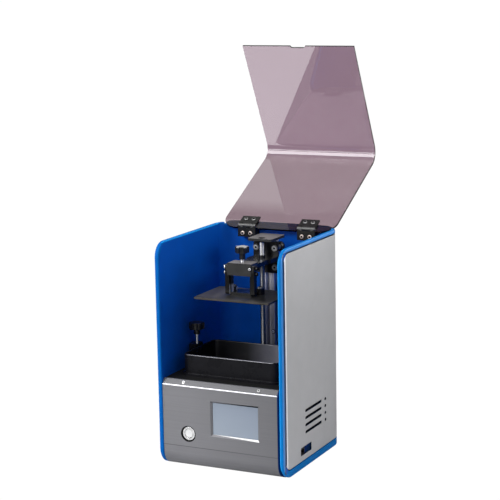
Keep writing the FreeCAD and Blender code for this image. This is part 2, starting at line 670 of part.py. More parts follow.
def make_light_engine():
    front, back = "optic_y - screen_y", "optic_y + screen_y"
    node("lcd_screen", box("lcd_screen", ("-screen_x", "screen_x"), (front, back), (DECK_BOTTOM, "deck_top")))
    shade = new_body("light_shade")
    for kind, wall in (("AdditiveLoft", "0"), ("SubtractiveLoft", "shade_wall")):
        profiles = []
        for height, wide, deep in (("shade_bottom", "shade_foot", "shade_foot"),
                                   (DECK_BOTTOM, "screen_x", "screen_y")):
            half_x, half_y = f"({wide} - {wall})", f"({deep} - {wall})"
            drawn = rectangle(f"-{half_x}", half_x, f"optic_y - {half_y}", f"optic_y + {half_y}")
            profiles.append(sketch_on(shade, "XY", height, [drawn]))
        loft = shade.newObject("PartDesign::" + kind, "light_shade_loft")
        loft.Profile = profiles[0]
        loft.Sections = profiles[1:]
        loft.Ruled = True
        doc.recompute()
    wide, deep = "screen_x + shade_flange", "screen_y + shade_flange"
    pad(shade, "XY", f"{DECK_BOTTOM} - shade_wall", DECK_BOTTOM,
        rectangle(f"-({wide})", wide, f"optic_y - ({deep})", f"optic_y + ({deep})"),
        rectangle("-screen_x + shade_wall", "screen_x - shade_wall",
                  "optic_y - screen_y + shade_wall", "optic_y + screen_y - shade_wall"))
    node("light_shade", shade)
    half = "led_board_size / 2"
    node("led_board", box("led_board", (f"-{half}", half), (f"optic_y - {half}", f"optic_y + {half}"),
                          (SINK_TOP, LED_TOP)))
    lens = revolve(new_body("led_lens"), outline(
        ("0", "0"), ("lens_radius", "0"), ("lens_radius", "lens_height", "lens_height - lens_edge"),
        ("0", "lens_height")))
    node("led_lens", place(lens, "0", "optic_y", LED_TOP))
    sink = new_body("heat_sink")
    half = "sink_size / 2"
    pad(sink, "XY", f"{SINK_TOP} - sink_base", SINK_TOP,
        rectangle(f"-{half}", half, f"optic_y - {half}", f"optic_y + {half}"))
    fins = []
    count = int(value("sink_size - fin_sheet") // value("fin_pitch")) + 1
    for rank in range(count):
        left = f"-(fin_pitch * {count - 1} + fin_sheet) / 2 + {rank} * fin_pitch"
        fins.append(rectangle(left, f"{left} + fin_sheet", f"optic_y - {half}", f"optic_y + {half}"))
    pad(sink, "XY", BASE_TOP, f"{SINK_TOP} - sink_base", *fins)
    node("heat_sink", sink)


def make_electronics():
    right, back = f"{BOARD_LEFT} + board_width", "board_front + board_depth"
    board = box("main_board", (BOARD_LEFT, right), ("board_front", back), (BOARD_BOTTOM, BOARD_TOP))
    node("main_board", board)
    posts = []
    for x in (f"{BOARD_LEFT} + post_inset", f"{right} - post_inset"):
        for y in ("board_front + post_inset", f"{back} - post_inset"):
            posts.append(rod("post", "z", "post_radius", BASE_TOP, BOARD_BOTTOM, x, y))
    node("board_posts", group("board_posts", *posts))
    face, front, low = f"{RIGHT} - recess", "port_front + fit", BOARD_TOP
    rear = f"{face} - socket_depth"
    case = box("usb_case", (rear, face), (front, f"{front} + socket_width"), (low, f"{low} + socket_height"))
    mouth = box("usb_mouth", (f"{rear} + socket_back", f"{face} + socket_wall"),
                (f"{front} + socket_wall", f"{front} + socket_width - socket_wall"),
                (f"{low} + socket_wall", f"{low} + socket_height - socket_wall"))
    node("usb_socket", cut("usb_socket", case, mouth))
    spot, inside = ("jack_x", "jack_z"), f"{BACK} - jack_length"
    barrel = rod("jack_body", "y", "jack_radius", inside, f"{BACK} - recess / 2", *spot)
    hole = rod("jack_hole", "y", "jack_bore", f"{inside} + jack_back", BACK, *spot)
    pin = rod("jack_pin", "y", "jack_pin", inside, f"{BACK} - recess", *spot)
    node("dc_jack", fuse("dc_jack", cut("jack_case", barrel, hole), pin))


def make_fan():
    """A fan behind the vents, blowing out to the right."""
    outer = INNER
    inner = f"{INNER} - fan_depth"
    frame = new_body("fan_frame")
    half = "fan_size / 2"
    pad(frame, "YZ", inner, outer,
        rectangle(f"fan_y - {half}", f"fan_y + {half}", f"fan_z - {half}", f"fan_z + {half}", "fan_corner"),
        circle("fan_y", "fan_z", "fan_bore"))
    strut = (inner, f"{inner} + strut_depth")
    pad(frame, "YZ", *strut, circle("fan_y", "fan_z", "hub_radius"))
    along, across = "(fan_bore + strut_root)", "strut_width / 2"
    for wide, high in ((along, across), (across, along)):
        pad(frame, "YZ", *strut,
            rectangle(f"fan_y - {wide}", f"fan_y + {wide}", f"fan_z - {high}", f"fan_z + {high}"))
    pad(frame, "YZ", inner, f"{inner} + strut_depth + fan_axle_height", circle("fan_y", "fan_z", "fan_axle"))
    node("fan_frame", frame)
    rotor = new_body("fan_rotor")
    pad(rotor, "XY", "0", "rotor_depth", circle("0", "0", "hub_radius"))
    pocket(rotor, "XY", "0", "rotor_depth - hub_roof", circle("0", "0", "fan_axle + running"))
    high = "rotor_depth - blade_inset"
    pad(rotor, "XZ", "hub_radius - blade_root", "rotor_radius", outline(
        ("-blade_lean", "blade_inset"), ("-blade_lean + blade_sheet", "blade_inset"), ("blade_lean", high),
        ("blade_lean - blade_sheet", high)))
    polar(rotor, rotor.Tip, 7)
    node("fan_rotor", place(rotor, f"{inner} + strut_depth + rotor_gap", "fan_y", "fan_z", TURNS["x"]))


# Vat

def vat_plan(inset, radius):
    half = f"(vat_x - ({inset}))"
    return rectangle(f"-{half}", half, f"vat_front + ({inset})", f"vat_back - ({inset})", radius)


def make_vat():
    """A tray with a rounded rim on a stepped foot, with a tall ear each side for its clamp screw."""
    body = new_body("vat")
    floor, film_top = "deck_top + vat_floor", "deck_top + film_sheet"
    frame_top = f"{film_top} + film_frame"
    pad(body, "XY", "deck_top", floor, vat_plan("-vat_step", "vat_radius + vat_step"))
    pad(body, "XY", floor, VAT_RIM, vat_plan("0", "vat_radius"))
    pocket(body, "XY", floor, f"{VAT_RIM} + vat_wall", vat_plan("vat_wall", "vat_radius - vat_wall"))
    pocket(body, "XY", "deck_top", f"{floor} + vat_wall", vat_plan("vat_wall + frame_width", "window_radius"))
    pocket(body, "XY", "deck_top", frame_top, vat_plan("vat_wall", "vat_radius - vat_wall"))
    rim = value(VAT_RIM)
    dress(body, "Fillet", "rim_round", lambda edge: lies(edge, z=rim))
    for side, low, high in (("-", "-ear_reach", "ear_root - vat_x"), ("", "vat_x - ear_root", "ear_reach")):
        pad(body, "XY", "deck_top", EAR_TOP,
            rectangle(low, high, "vat_stud_y - ear_half", "vat_stud_y + ear_half"))
        pocket(body, "XY", "deck_top - vat_floor", f"{EAR_TOP} + vat_floor",
               circle(f"{side}vat_stud_x", "vat_stud_y", "vat_stud_radius + stud_fit"))
    corner = value("ear_reach")
    dress(body, "Fillet", "ear_round", lambda edge: edge.BoundBox.ZLength > rim / 10 and (
        lies(edge, x=corner) or lies(edge, x=-corner)))
    node("vat", body)
    edge = ("vat_wall + fit", "vat_radius - vat_wall - fit")
    node("vat_film", pad(new_body("vat_film"), "XY", "deck_top", film_top, vat_plan(*edge)))
    ring = pad(new_body("film_frame"), "XY", film_top, frame_top, vat_plan(*edge),
               vat_plan("vat_wall + frame_width", "window_radius"))
    node("film_frame", ring)


def make_knob(name, radius, low, neck, head, x, y):
    """A star knob: a collar below a head with round scallops."""
    body = revolve(new_body(name), outline(
        ("0", "0"), ("neck_radius", "0"), ("neck_radius", neck), (radius, f"{neck} + collar_rise"),
        (radius, f"{neck} + {head}", "knob_round"), ("0", f"{neck} + {head}")))
    scallop = pocket(body, "XY", neck, f"{neck} + {head} + collar_rise",
                     circle(f"{radius} + lobe_reach", "0", "lobe_radius"))
    polar(body, scallop, 5)
    node(name, place(body, x, y, low))


def make_vat_clamps():
    for side, sign in (("left", "-"), ("right", "")):
        x = f"{sign}vat_stud_x"
        make_knob(f"vat_knob_{side}", "vat_knob_radius", VAT_KNOB_LOW, "vat_knob_neck", "vat_knob_head", x,
                  "vat_stud_y")
        stud = rod(f"vat_stud_{side}", "z", "vat_stud_radius", DECK_BOTTOM, VAT_KNOB_LOW, x, "vat_stud_y")
        node(f"vat_stud_{side}", stud)


# Column, lead screw and motor

def make_column():
    """A slotted square extrusion: one slot, repeated on the four sides, and a core bore."""
    body = new_body("z_column")
    half = "column / 2"
    pad(body, "XY", BASE_TOP, COLUMN_TOP, rectangle(f"-{half}", half, f"-{half}", half, "column_round"))
    mouth, throat, cavity, floor = "slot_mouth / 2", "slot_throat / 2", "slot_cavity / 2", "slot_floor / 2"
    lip_y, deep_y = f"{half} - slot_lip", f"{half} - slot_depth"
    mid_y = f"{deep_y} + slot_cavity / 2 - slot_floor / 2"
    neck_y = f"{half} - slot_mouth / 2 + slot_throat / 2"
    cutter = pocket(body, "XY", BASE_TOP, COLUMN_TOP, outline(
        (f"-({mouth})", half), (f"-({throat})", neck_y), (f"-({throat})", lip_y), (f"-({cavity})", lip_y),
        (f"-({cavity})", mid_y), (f"-({floor})", deep_y), (floor, deep_y), (cavity, mid_y), (cavity, lip_y),
        (throat, lip_y), (throat, neck_y), (mouth, half)))
    polar(body, cutter, 4)
    pocket(body, "XY", BASE_TOP, COLUMN_TOP, circle("0", "0", "core_bore"))
    node("z_column", place(body, "0", COLUMN_Y, "0"))


def make_screw_drive():
    node("lead_screw", rod("lead_screw", "z", "screw_radius", SCREW_BOTTOM, SCREW_TOP, "0", "screw_y"))
    shaft = rod("motor_shaft", "z", "shaft_radius", f"{MOTOR_TOP} + boss_height", SHAFT_TOP, "0", "screw_y")
    node("motor_shaft", shaft)
    narrow, wide, seat = "shaft_radius + running", "screw_radius + running", f"{SCREW_BOTTOM} - coupler_gap"
    coupler = revolve(new_body("shaft_coupler"), outline(
        (narrow, COUPLER_LOW), ("coupler_radius", COUPLER_LOW), ("coupler_radius", COUPLER_HIGH),
        (wide, COUPLER_HIGH), (wide, seat), (narrow, seat)))
    node("shaft_coupler", place(coupler, "0", "screw_y", "0"))
    half = "motor_size / 2"
    motor = new_body("stepper_motor")
    pad(motor, "XY", "motor_bottom", MOTOR_TOP,
        rectangle(f"-{half}", half, f"screw_y - {half}", f"screw_y + {half}", "motor_corner"))
    pad(motor, "XY", MOTOR_TOP, f"{MOTOR_TOP} + boss_height", circle("0", "screw_y", "motor_boss"))
    node("stepper_motor", motor)
    mount = pad(new_body("motor_mount"), "XY", MOTOR_TOP, f"{MOTOR_TOP} + mount_sheet",
                rectangle(f"-{half}", half, f"screw_y - {half}", "column_front"),
                circle("0", "screw_y", "motor_boss + fit"))
    node("motor_mount", mount)
    top = new_body("top_plate")
    pad(top, "XY", COLUMN_TOP, f"{COLUMN_TOP} + top_plate_sheet",
        rectangle("-top_plate_x", "top_plate_x", "top_plate_front", "top_plate_back", "top_plate_radius"))
    pocket(top, "XY", COLUMN_TOP, f"{COLUMN_TOP} + top_plate_sheet", circle("0", "screw_y", "top_hole"))
    pocket(top, "XY", COLUMN_TOP, f"{COLUMN_TOP} + bearing_seat",
           circle("0", "screw_y", "bearing_radius + running"))
    node("top_plate", top)
    high = f"{COLUMN_TOP} + bearing_seat"
    low = f"{high} - bearing_depth"
    race = rod("bearing_outer", "z", "bearing_radius", low, high, "0", "screw_y")
    hole = rod("bearing_bore", "z", wide, f"{low} - bearing_depth", f"{high} + bearing_depth", "0", "screw_y")
    node("top_bearing", cut("top_bearing", race, hole))
    side = "column / 2"
    node("limit_switch", box("limit_switch", (f"-{side} - switch_width", f"-{side}"),
                             (f"{COLUMN_Y} - switch_depth / 2", f"{COLUMN_Y} + switch_depth / 2"),
                             ("deck_top + switch_rise", "deck_top + switch_rise + switch_height")))


# Lift

def axle_places():
    """Name, X and Z of the four wheels."""
    return [(f"{level}_{side}", f"{sign}{WHEEL_X}", height)
            for level, height in (("upper", AXLE_HIGH), ("lower", AXLE_LOW))
            for side, sign in (("left", "-"), ("right", ""))]


def make_lift():
    plate = new_body("lift_plate")
    pad(plate, "XZ", LIFT_FRONT, "lift_plate_back",
        rectangle("-lift_plate_x", "lift_plate_x", LIFT_PLATE_LOW, LIFT_PLATE_HIGH, "lift_plate_radius"),
        *[circle(x, z, "axle_radius + running") for name, x, z in axle_places()])
    node("lift_plate", plate)
    bolts, spacers = [], []
    wheel_front, wheel_back = f"{COLUMN_Y} - wheel_width / 2", f"{COLUMN_Y} + wheel_width / 2"
    bore, shoulder = "axle_radius + running", "wheel_radius - wheel_width / 2 + wheel_tip / 2"
    for name, x, z in axle_places():
        bolts.append(bolt("axle", "y", "axle_head", "axle_head_height", "axle_radius",
                          f"{LIFT_FRONT} - axle_head_height", f"{wheel_back} + axle_tail", x, z))
        tube = rod("spacer_tube", "y", "spacer_radius", "lift_plate_back", f"{wheel_front} - wheel_gap", x, z)
        hole = rod("spacer_hole", "y", bore, LIFT_FRONT, wheel_back, x, z)
        spacers.append(cut("spacer", tube, hole))
        tip = f"{wheel_back} + axle_tail"
        nut = rod("axle_nut", "y", "spacer_radius", f"{wheel_back} + wheel_gap", tip, x, z)
        hole = rod("nut_hole", "y", bore, wheel_front, f"{tip} + axle_tail", x, z)
        spacers.append(cut("axle_nut_ring", nut, hole))
        wheel = revolve(new_body("wheel_" + name), outline(
            (bore, "-wheel_width / 2"), (shoulder, "-wheel_width / 2"), ("wheel_radius", "-wheel_tip / 2"),
            ("wheel_radius", "wheel_tip / 2"), (shoulder, "wheel_width / 2"), (bore, "wheel_width / 2")))
        node("wheel_" + name, place(wheel, x, COLUMN_Y, z, TURNS["y"]))
    node("axle_bolts", group("axle_bolts", *bolts))
    node("axle_spacers", group("axle_spacers", *spacers))
    arm = new_body("lift_arm")
    front = "bracket_front + bracket_sheet + fit"
    pad(arm, "XY", ARM_LOW, ARM_TOP, outline(
        ("-arm_x", front), ("arm_x", front), ("arm_x", "arm_step", "arm_round"),
        ("arm_wide", "arm_step + arm_round"), ("arm_wide", LIFT_FRONT), ("-arm_wide", LIFT_FRONT),
        ("-arm_wide", "arm_step + arm_round"), ("-arm_x", "arm_step", "arm_round")),
        circle("0", "screw_y", "lead_nut_radius + running"),
        circle("0", KNOB_Y, "plate_stud_radius + stud_fit"))
    node("lift_arm", arm)
    bore = "screw_radius + lead_nut_gap"
    low, high = f"{ARM_LOW} - lead_nut_flange_sheet", f"{ARM_TOP} + lead_nut_rise"
    nut = revolve(new_body("lead_nut"), outline(
        (bore, low), ("lead_nut_flange", low), ("lead_nut_flange", ARM_LOW), ("lead_nut_radius", ARM_LOW),
        ("lead_nut_radius", high), (bore, high)))
    node("lead_nut", place(nut, "0", "screw_y", "0"))


def make_platform():
    """Build plate, its lower bracket, the upper bracket that hooks over the arm and the levelling screws."""
    plate = new_body("build_plate")
    pad(plate, "XY", PLATE_LOW, PLATE_TOP,
        rectangle("-plate_x", "plate_x", "plate_front", "plate_back", "plate_radius"))
    low = value(PLATE_LOW)
    dress(plate, "Chamfer", "plate_chamfer", lambda edge: lies(edge, z=low))
    node("build_plate", plate)
    upper = new_body("upper_bracket")
    pad(upper, "XZ", "bracket_front", BRACKET_BACK, outline(
        ("-cap_x", ARM_TOP), ("cap_x", ARM_TOP), ("cap_x", BRACKET_TOP, "bracket_round"),
        ("-cap_x", BRACKET_TOP, "bracket_round")))
    skirt_back = "(bracket_front + bracket_sheet)"
    pad(upper, "XZ", "bracket_front", skirt_back,
        rectangle("-cap_x", "cap_x", SKIRT_LOW, f"{ARM_TOP} + bracket_sheet / 2"))
    inner = "(bracket_x - leg_sheet)"
    leg_front, leg_back = "bracket_front + leg_setback", "bracket_front + leg_depth"
    for low, high in (("-bracket_x", f"-{inner}"), (inner, "bracket_x")):
        pad(upper, "YZ", low, high, outline(
            (leg_front, BRACKET_LOW, "leg_round"), (leg_back, BRACKET_LOW, "leg_round"),
            (leg_back, SHOULDER_HIGH), (leg_front, SHOULDER_HIGH)))
    pocket(upper, "XY", ARM_TOP, f"{BRACKET_TOP} + bracket_sheet",
           circle("0", KNOB_Y, "plate_stud_radius + stud_fit"))
    node("upper_bracket", upper)
    outer, tab = f"({inner} - tab_gap)", f"({inner} - tab_gap - tab_sheet)"
    lower = new_body("lower_bracket")
    tab_front, yoke_top = f"({skirt_back} + fit)", f"{PLATE_TOP} + yoke_sheet"
    pad(lower, "XY", PLATE_TOP, yoke_top, rectangle(f"-{outer}", outer, tab_front, BRACKET_BACK))
    pad(lower, "XY", PLATE_TOP, yoke_top,
        rectangle("-boss_x", "boss_x", "boss_y - boss_radius", "boss_y + boss_radius"))
    for low, high in ((f"-{outer}", f"-{tab}"), (tab, outer)):
        pad(lower, "YZ", low, high, rectangle(tab_front, f"{tab_front} + tab_depth", PLATE_TOP, TAB_HIGH))
    pad(lower, "XY", PLATE_TOP, BOSS_HIGH, circle("-boss_x", "boss_y", "boss_radius"),
        circle("boss_x", "boss_y", "boss_radius"))
    screws = []
    for sign in ("-", ""):
        for height, depth in ((LEVEL_HIGH, "arm_x"), (LEVEL_LOW, tab)):
            screws.append(bolt("level_screw", "x", "level_head", "level_head_height", "level_radius",
                               f"{sign}(bracket_x + level_head_height)", f"{sign}({depth})", LEVEL_Y, height))
    holes = [circle(LEVEL_Y, height, "level_radius + running") for height in (LEVEL_HIGH, LEVEL_LOW)]
    pocket(upper, "YZ", "-bracket_x", "bracket_x", *holes)
    pocket(lower, "YZ", "-bracket_x", "bracket_x", holes[1])
    node("lower_bracket", lower)
    node("leveling_screws", group("leveling_screws", *screws))
    make_knob("plate_knob", "plate_knob_radius", PLATE_KNOB_LOW, "plate_knob_neck", "plate_knob_head", "0",
              KNOB_Y)
    node("plate_stud", rod("plate_stud", "z", "plate_stud_radius", ARM_LOW, PLATE_KNOB_LOW, "0", KNOB_Y))


# Lid and hinges

def lid_place(feature):
    """Turns a piece that is drawn with the lid shut, about the hinge, to the open lid."""
    feature.Placement = Placement(Vector(0, 0, 0), Rotation(Vector(-1, 0, 0), value("lid_open")))
    feature.setExpression("Placement.Rotation.Angle", tied("lid_open"))
    return place(feature, "0", AXIS_Y, AXIS_Z)


def make_lid():
    """A tinted sheet with one bend, drawn shut with the hinge's axis as its origin."""
    body = new_body("lid_panel")
    half = f"{INNER} - lid_gap"
    front_out = f"({FRONT} + lid_front_inset - {AXIS_Y})"
    front_in, low = f"({front_out} + lid_sheet)", f"({LID_LOW} - {AXIS_Z})"
    pad(body, "YZ", f"-({half})", half, outline(
        ("lid_rear", "0"), ("lid_rear", "lid_sheet"), (front_out, "lid_sheet", BEND_RADIUS), (front_out, low),
        (front_in, low), (front_in, "0", f"{BEND_RADIUS} - lid_sheet")))
    rear = value("lid_rear")
    corner = value(half)
    dress(body, "Fillet", "lid_rear_radius",
          lambda edge: lies(edge, y=rear, x=corner) or lies(edge, y=rear, x=-corner))
    pocket(body, "XZ", f"{front_out} - lid_sheet", f"{front_in} + lid_sheet", outline(
        ("-pull_half", low), ("pull_half", low), ("pull_half - pull_slope", f"{low} + pull_depth"),
        ("pull_slope - pull_half", f"{low} + pull_depth")))
    for sign in ("-", ""):
        middle = f"{sign}hinge_x"
        pocket(body, "XY", "-lid_sheet", "2 * lid_sheet", rectangle(
            f"{middle} - hinge_width / 2 - leaf_clear", f"{middle} + hinge_width / 2 + leaf_clear",
            "-knuckle_radius - leaf_clear", "lid_rear + lid_sheet"))
    node("lid_panel", lid_place(body))


def make_hinges():
    left, right = "hinge_x - hinge_width / 2", "hinge_x + hinge_width / 2"
    inner_left, inner_right = f"{left} + knuckle_side", f"{right} - knuckle_side"
    front, shoulder = f"{AXIS_Y} - leaf_sheet", f"{AXIS_Z} - knuckle_radius - leaf_clear"
    barrels = []
    for low, high in ((left, inner_left), (inner_right, right)):
        barrels.append(rod("barrel", "x", "knuckle_radius", low, high, AXIS_Y, AXIS_Z))
        barrels.append(box("barrel_root", (low, high), (front, AXIS_Y), (f"{shoulder} - leaf_clear", AXIS_Z)))
    leaf = box("leaf_sheet_fixed", (left, right), (front, AXIS_Y), (LEAF_LOW, shoulder))
    bore = rod("leaf_bore", "x", "pin_radius + running", f"{left} - pin_radius", f"{right} + pin_radius",
               AXIS_Y, AXIS_Z)
    fixed = cut("fixed_leaf", fuse("fixed_leaf_whole", leaf, *barrels), bore)
    node("hinge_wall_leaves", group("hinge_wall_leaves", fixed, mirrored("fixed_leaf_twin", fixed)))
    block = box("hinge_block", (left, right), (AXIS_Y, INNER_BACK), (LEAF_LOW, BLOCK_TOP))
    node("hinge_blocks", group("hinge_blocks", block, mirrored("hinge_block_twin", block)))
    pin = rod("hinge_pin", "x", "pin_radius", left, right, AXIS_Y, AXIS_Z)
    node("hinge_pins", group("hinge_pins", pin, mirrored("hinge_pin_twin", pin)))
    gap_left, gap_right = f"{inner_left} + knuckle_gap", f"{inner_right} - knuckle_gap"
    root = "-knuckle_radius - leaf_clear"
    flap = box("flap", (left, right), ("-lid_leaf_reach", root), ("-lid_leaf_sheet", "0"))
    neck = box("flap_neck", (gap_left, gap_right), (f"{root} - leaf_clear", "0"), ("-lid_leaf_sheet", "0"))
    barrel = rod("flap_barrel", "x", "knuckle_radius", gap_left, gap_right, "0", "0")
    bore = rod("flap_bore", "x", "pin_radius + running", left, right, "0", "0")
    moving = cut("lid_leaf", fuse("lid_leaf_whole", flap, neck, barrel), bore)
    node("hinge_lid_leaves", lid_place(group("hinge_lid_leaves", moving, mirrored("lid_leaf_twin", moving))))


def write_parts():
    """Refuses a failed feature or a bad shape, then writes one file per sub-part."""
    doc.recompute()
    for feature in doc.Objects:
        if "Invalid" in feature.State or "Error" in feature.State:
            raise ValueError(f"{feature.Label} failed: {feature.State}")
    for feature in nodes:
        if feature.Shape.isNull() or not feature.Shape.isValid():
            raise ValueError(f"{feature.Label} has a bad shape")
    os.makedirs("parts", exist_ok=True)
    for feature in nodes:
        feature.Shape.exportStep(f"parts/{feature.Label}.step")


make_shell()
make_cover()
make_front_panel()
make_base()
make_display()
make_button()
make_light_engine()
make_electronics()
make_fan()
make_vat()
make_vat_clamps()
make_column()
make_screw_drive()
make_lift()
make_platform()
make_lid()
make_hinges()
write_parts()
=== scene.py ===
"""Looks of the desktop resin printer: materials, small fasteners, threads, light and camera."""
import json
import math

import bpy
from mathutils import Matrix, Vector

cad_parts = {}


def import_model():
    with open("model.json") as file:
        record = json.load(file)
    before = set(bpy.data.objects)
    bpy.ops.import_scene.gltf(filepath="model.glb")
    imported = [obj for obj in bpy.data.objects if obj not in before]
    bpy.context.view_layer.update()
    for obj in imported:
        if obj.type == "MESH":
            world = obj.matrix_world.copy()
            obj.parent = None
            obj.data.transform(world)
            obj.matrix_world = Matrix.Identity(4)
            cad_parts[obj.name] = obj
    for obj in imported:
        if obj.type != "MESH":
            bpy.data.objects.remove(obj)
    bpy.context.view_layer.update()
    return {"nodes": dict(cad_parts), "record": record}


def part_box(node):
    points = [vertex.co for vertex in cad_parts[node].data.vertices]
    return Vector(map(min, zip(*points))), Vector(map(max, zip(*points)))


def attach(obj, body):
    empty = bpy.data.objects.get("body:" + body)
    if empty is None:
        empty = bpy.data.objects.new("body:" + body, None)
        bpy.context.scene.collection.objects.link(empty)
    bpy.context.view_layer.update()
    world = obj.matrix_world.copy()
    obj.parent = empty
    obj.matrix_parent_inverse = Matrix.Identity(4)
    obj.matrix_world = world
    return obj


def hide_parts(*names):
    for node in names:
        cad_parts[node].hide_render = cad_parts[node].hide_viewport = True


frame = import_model()
nodes = frame["nodes"]

MM = 0.001
LID_TURN = math.radians(152.67)
HINGE = Vector((0, 94.5, 341))
LID_ALONG = Vector((0, -math.cos(LID_TURN), math.sin(LID_TURN)))
LID_INSIDE = Vector((0, -math.sin(LID_TURN), -math.cos(LID_TURN)))
STRIP_NORMAL = Vector((0, -7.5, 6)).normalized()
HALF_WIDTH, HALF_DEPTH, PLAN_RADIUS = 103, 112, 34
FRONT_LIP, TOP_LIP, BOTTOM_LIP = -103.45, 338.25, 13.85  # where the cover's recess ends
# Where the painted shade at the panel's right end, beside the lip, begins and where it is full.
PANEL_SHADE_SPAN = (91.6, 93.2)
CREASE_HEIGHT = 37.5
SCREW_Y = 40.5
BUTTON_X, BUTTON_Z = -54.4, 57.2
WHITE_LEVEL = 1.02  # just past white, so that the background clips to white


# Materials

class Graph:
    """A material's node tree with short ways to add nodes."""

    def __init__(self, name):
        self.material = bpy.data.materials.new(name)
        self.material.use_nodes = True
        self.tree = self.material.node_tree
        self.tree.nodes.clear()
        self.place = None

    def add(self, kind, values=None, **settings):
        node = self.tree.nodes.new(kind)
        for key, setting in settings.items():
            setattr(node, key, setting)
        for key, given in (values or {}).items():
            if isinstance(given, bpy.types.NodeSocket):
                self.tree.links.new(given, node.inputs[key])
            else:
                node.inputs[key].default_value = given
        return node

    def coordinates(self, stretch=(1, 1, 1)):
        if self.place is None:
            self.place = self.add("ShaderNodeTexCoord").outputs["Object"]
        return self.add("ShaderNodeMapping", {"Vector": self.place, "Scale": stretch}).outputs[0]

    def noise(self, scale, detail=3.0, stretch=(1, 1, 1)):
        values = {"Vector": self.coordinates(stretch), "Scale": scale, "Detail": detail}
        return self.add("ShaderNodeTexNoise", values).outputs[0]

    def spread(self, factor, low, high, start=0.3, end=0.7):
        values = {"Value": factor, "From Min": start, "From Max": end, "To Min": low, "To Max": high}
        return self.add("ShaderNodeMapRange", values).outputs[0]

    def mixed(self, factor, first, second):
        node = self.add("ShaderNodeMix", data_type="RGBA")
        self.tree.links.new(factor, node.inputs[0])
        for socket, colour in ((node.inputs[6], first), (node.inputs[7], second)):
            if isinstance(colour, bpy.types.NodeSocket):
                self.tree.links.new(colour, socket)
            else:
                socket.default_value = (*colour, 1)
        return node.outputs[2]

    def step(self, axis, start, end):
        """0 before start and 1 after end along an axis, in millimetres."""
        split = self.add("ShaderNodeSeparateXYZ", {"Vector": self.coordinates()})
        return self.spread(split.outputs[axis], 0, 1, start * MM, end * MM)

    def banded(self, factor, low, high, bands):
        shade = self.spread(factor, 0, 1)
        tone = self.mixed(shade, low, high)
        for axis, start, end, band_low, band_high in bands:
            tone = self.mixed(self.step(axis, start, end), tone, self.mixed(shade, band_low, band_high))
        return tone

    def multiplied(self, first, second):
        return self.add("ShaderNodeMath", {0: first, 1: second}, operation="MULTIPLY").outputs[0]

    def finish(self, shader):
        self.add("ShaderNodeOutputMaterial", {"Surface": shader.outputs[0]})
        return self.material


def surface(name, low, high, rough, metallic=0.0, grain=45.0, stretch=(1, 1, 1), bump=0.0, bump_grain=900.0,
            edge=0.0, extra=None, bands=()):
    """A surface whose colour goes from low to high and whose gloss changes with place.

    Each band (axis, start, end, low, high) gives what lies past a place on an axis colours of its own.
    """
    graph = Graph(name)
    factor = graph.noise(grain, stretch=stretch)
    tone = graph.banded(factor, low, high, bands)
    values = {"Base Color": tone, "Roughness": graph.spread(factor, rough[0], rough[1]), "Metallic": metallic}
    normal = None
    if edge:
        normal = graph.add("ShaderNodeBevel", {"Radius": edge * MM}, samples=4).outputs[0]
    if bump:
        fine = {"Height": graph.noise(bump_grain, 2.0, stretch), "Strength": bump, "Distance": 0.0003}
        if normal is not None:
            fine["Normal"] = normal
        normal = graph.add("ShaderNodeBump", fine).outputs[0]
    if normal is not None:
        values["Normal"] = normal
    values.update(extra or {})
    return graph.finish(graph.add("ShaderNodeBsdfPrincipled", values))


def grey(level, tint=0.0):
    return (level, level, level * (1 + tint))


def screen_material():
    """A blank lit panel with a soft slanting sheen."""
    graph = Graph("display_screen")
    low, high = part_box("display_glass")
    split = graph.add("ShaderNodeSeparateXYZ", {"Vector": graph.coordinates()})
    across = graph.spread(split.outputs[0], 0, 1, low[0], high[0])
    upward = graph.spread(split.outputs[2], 0, 1, low[2], high[2])
    slant = graph.add("ShaderNodeMath", {0: across, 1: upward}, operation="ADD").outputs[0]
    factor = graph.spread(slant, 0, 1, 0.2, 1.8)
    cloud = graph.mixed(graph.spread(graph.noise(30), 0, 0.12), (0.275, 0.325, 0.39), (0.31, 0.335, 0.40))
    values = {
        "Base Color": graph.mixed(factor, cloud, (0.215, 0.255, 0.325)),
        "Roughness": graph.spread(graph.noise(60), 0.16, 0.24),
    }
    return graph.finish(graph.add("ShaderNodeBsdfPrincipled", values))


def panel_material(name, low, high):
    """Brushed grey sheet with painted shade: it darkens from left to right, has a dark line of painted shade along the
    crease near its foot, and dark blue painted shade at its right end beside the lip.
    """
    graph = Graph(name)
    factor = graph.noise(90, stretch=(0.05, 1, 9))
    split = graph.add("ShaderNodeSeparateXYZ", {"Vector": graph.coordinates()})
    # Painted shade: the sheet's grey falls off from left to right.
    level = graph.spread(split.outputs[0], 1, 0.74, -0.05, 0.09)
    level = graph.multiplied(level, graph.spread(factor, low, high))
    bluer = graph.multiplied(level, 1.07)
    tone = graph.add("ShaderNodeCombineColor", {0: level, 1: level, 2: bluer}).outputs[0]
    # Painted shade: a fine dark line along the crease near the foot.
    off = graph.add("ShaderNodeMath", {0: split.outputs[2], 1: CREASE_HEIGHT * MM}, operation="SUBTRACT").outputs[0]
    off = graph.add("ShaderNodeMath", {0: off}, operation="ABSOLUTE").outputs[0]
    tone = graph.mixed(graph.spread(off, 1, 0, 0.0003, 0.0008), tone, grey(low * 0.55, 0.06))
    # Painted shade at the right end beside the lip, where the sheen also goes off.
    tone = graph.mixed(graph.step(0, *PANEL_SHADE_SPAN), tone, (0.0, 0.014, 0.075))
    sheen = graph.spread(split.outputs[0], 0.4, 0.01, *(end * MM for end in PANEL_SHADE_SPAN))
    values = {
        "Base Color": tone, "Roughness": graph.spread(factor, 0.42, 0.5), "Metallic": sheen,
        "Specular IOR Level": sheen,
        "Normal": graph.add("ShaderNodeBevel", {"Radius": 0.3 * MM}, samples=4).outputs[0],
    }
    return graph.finish(graph.add("ShaderNodeBsdfPrincipled", values))


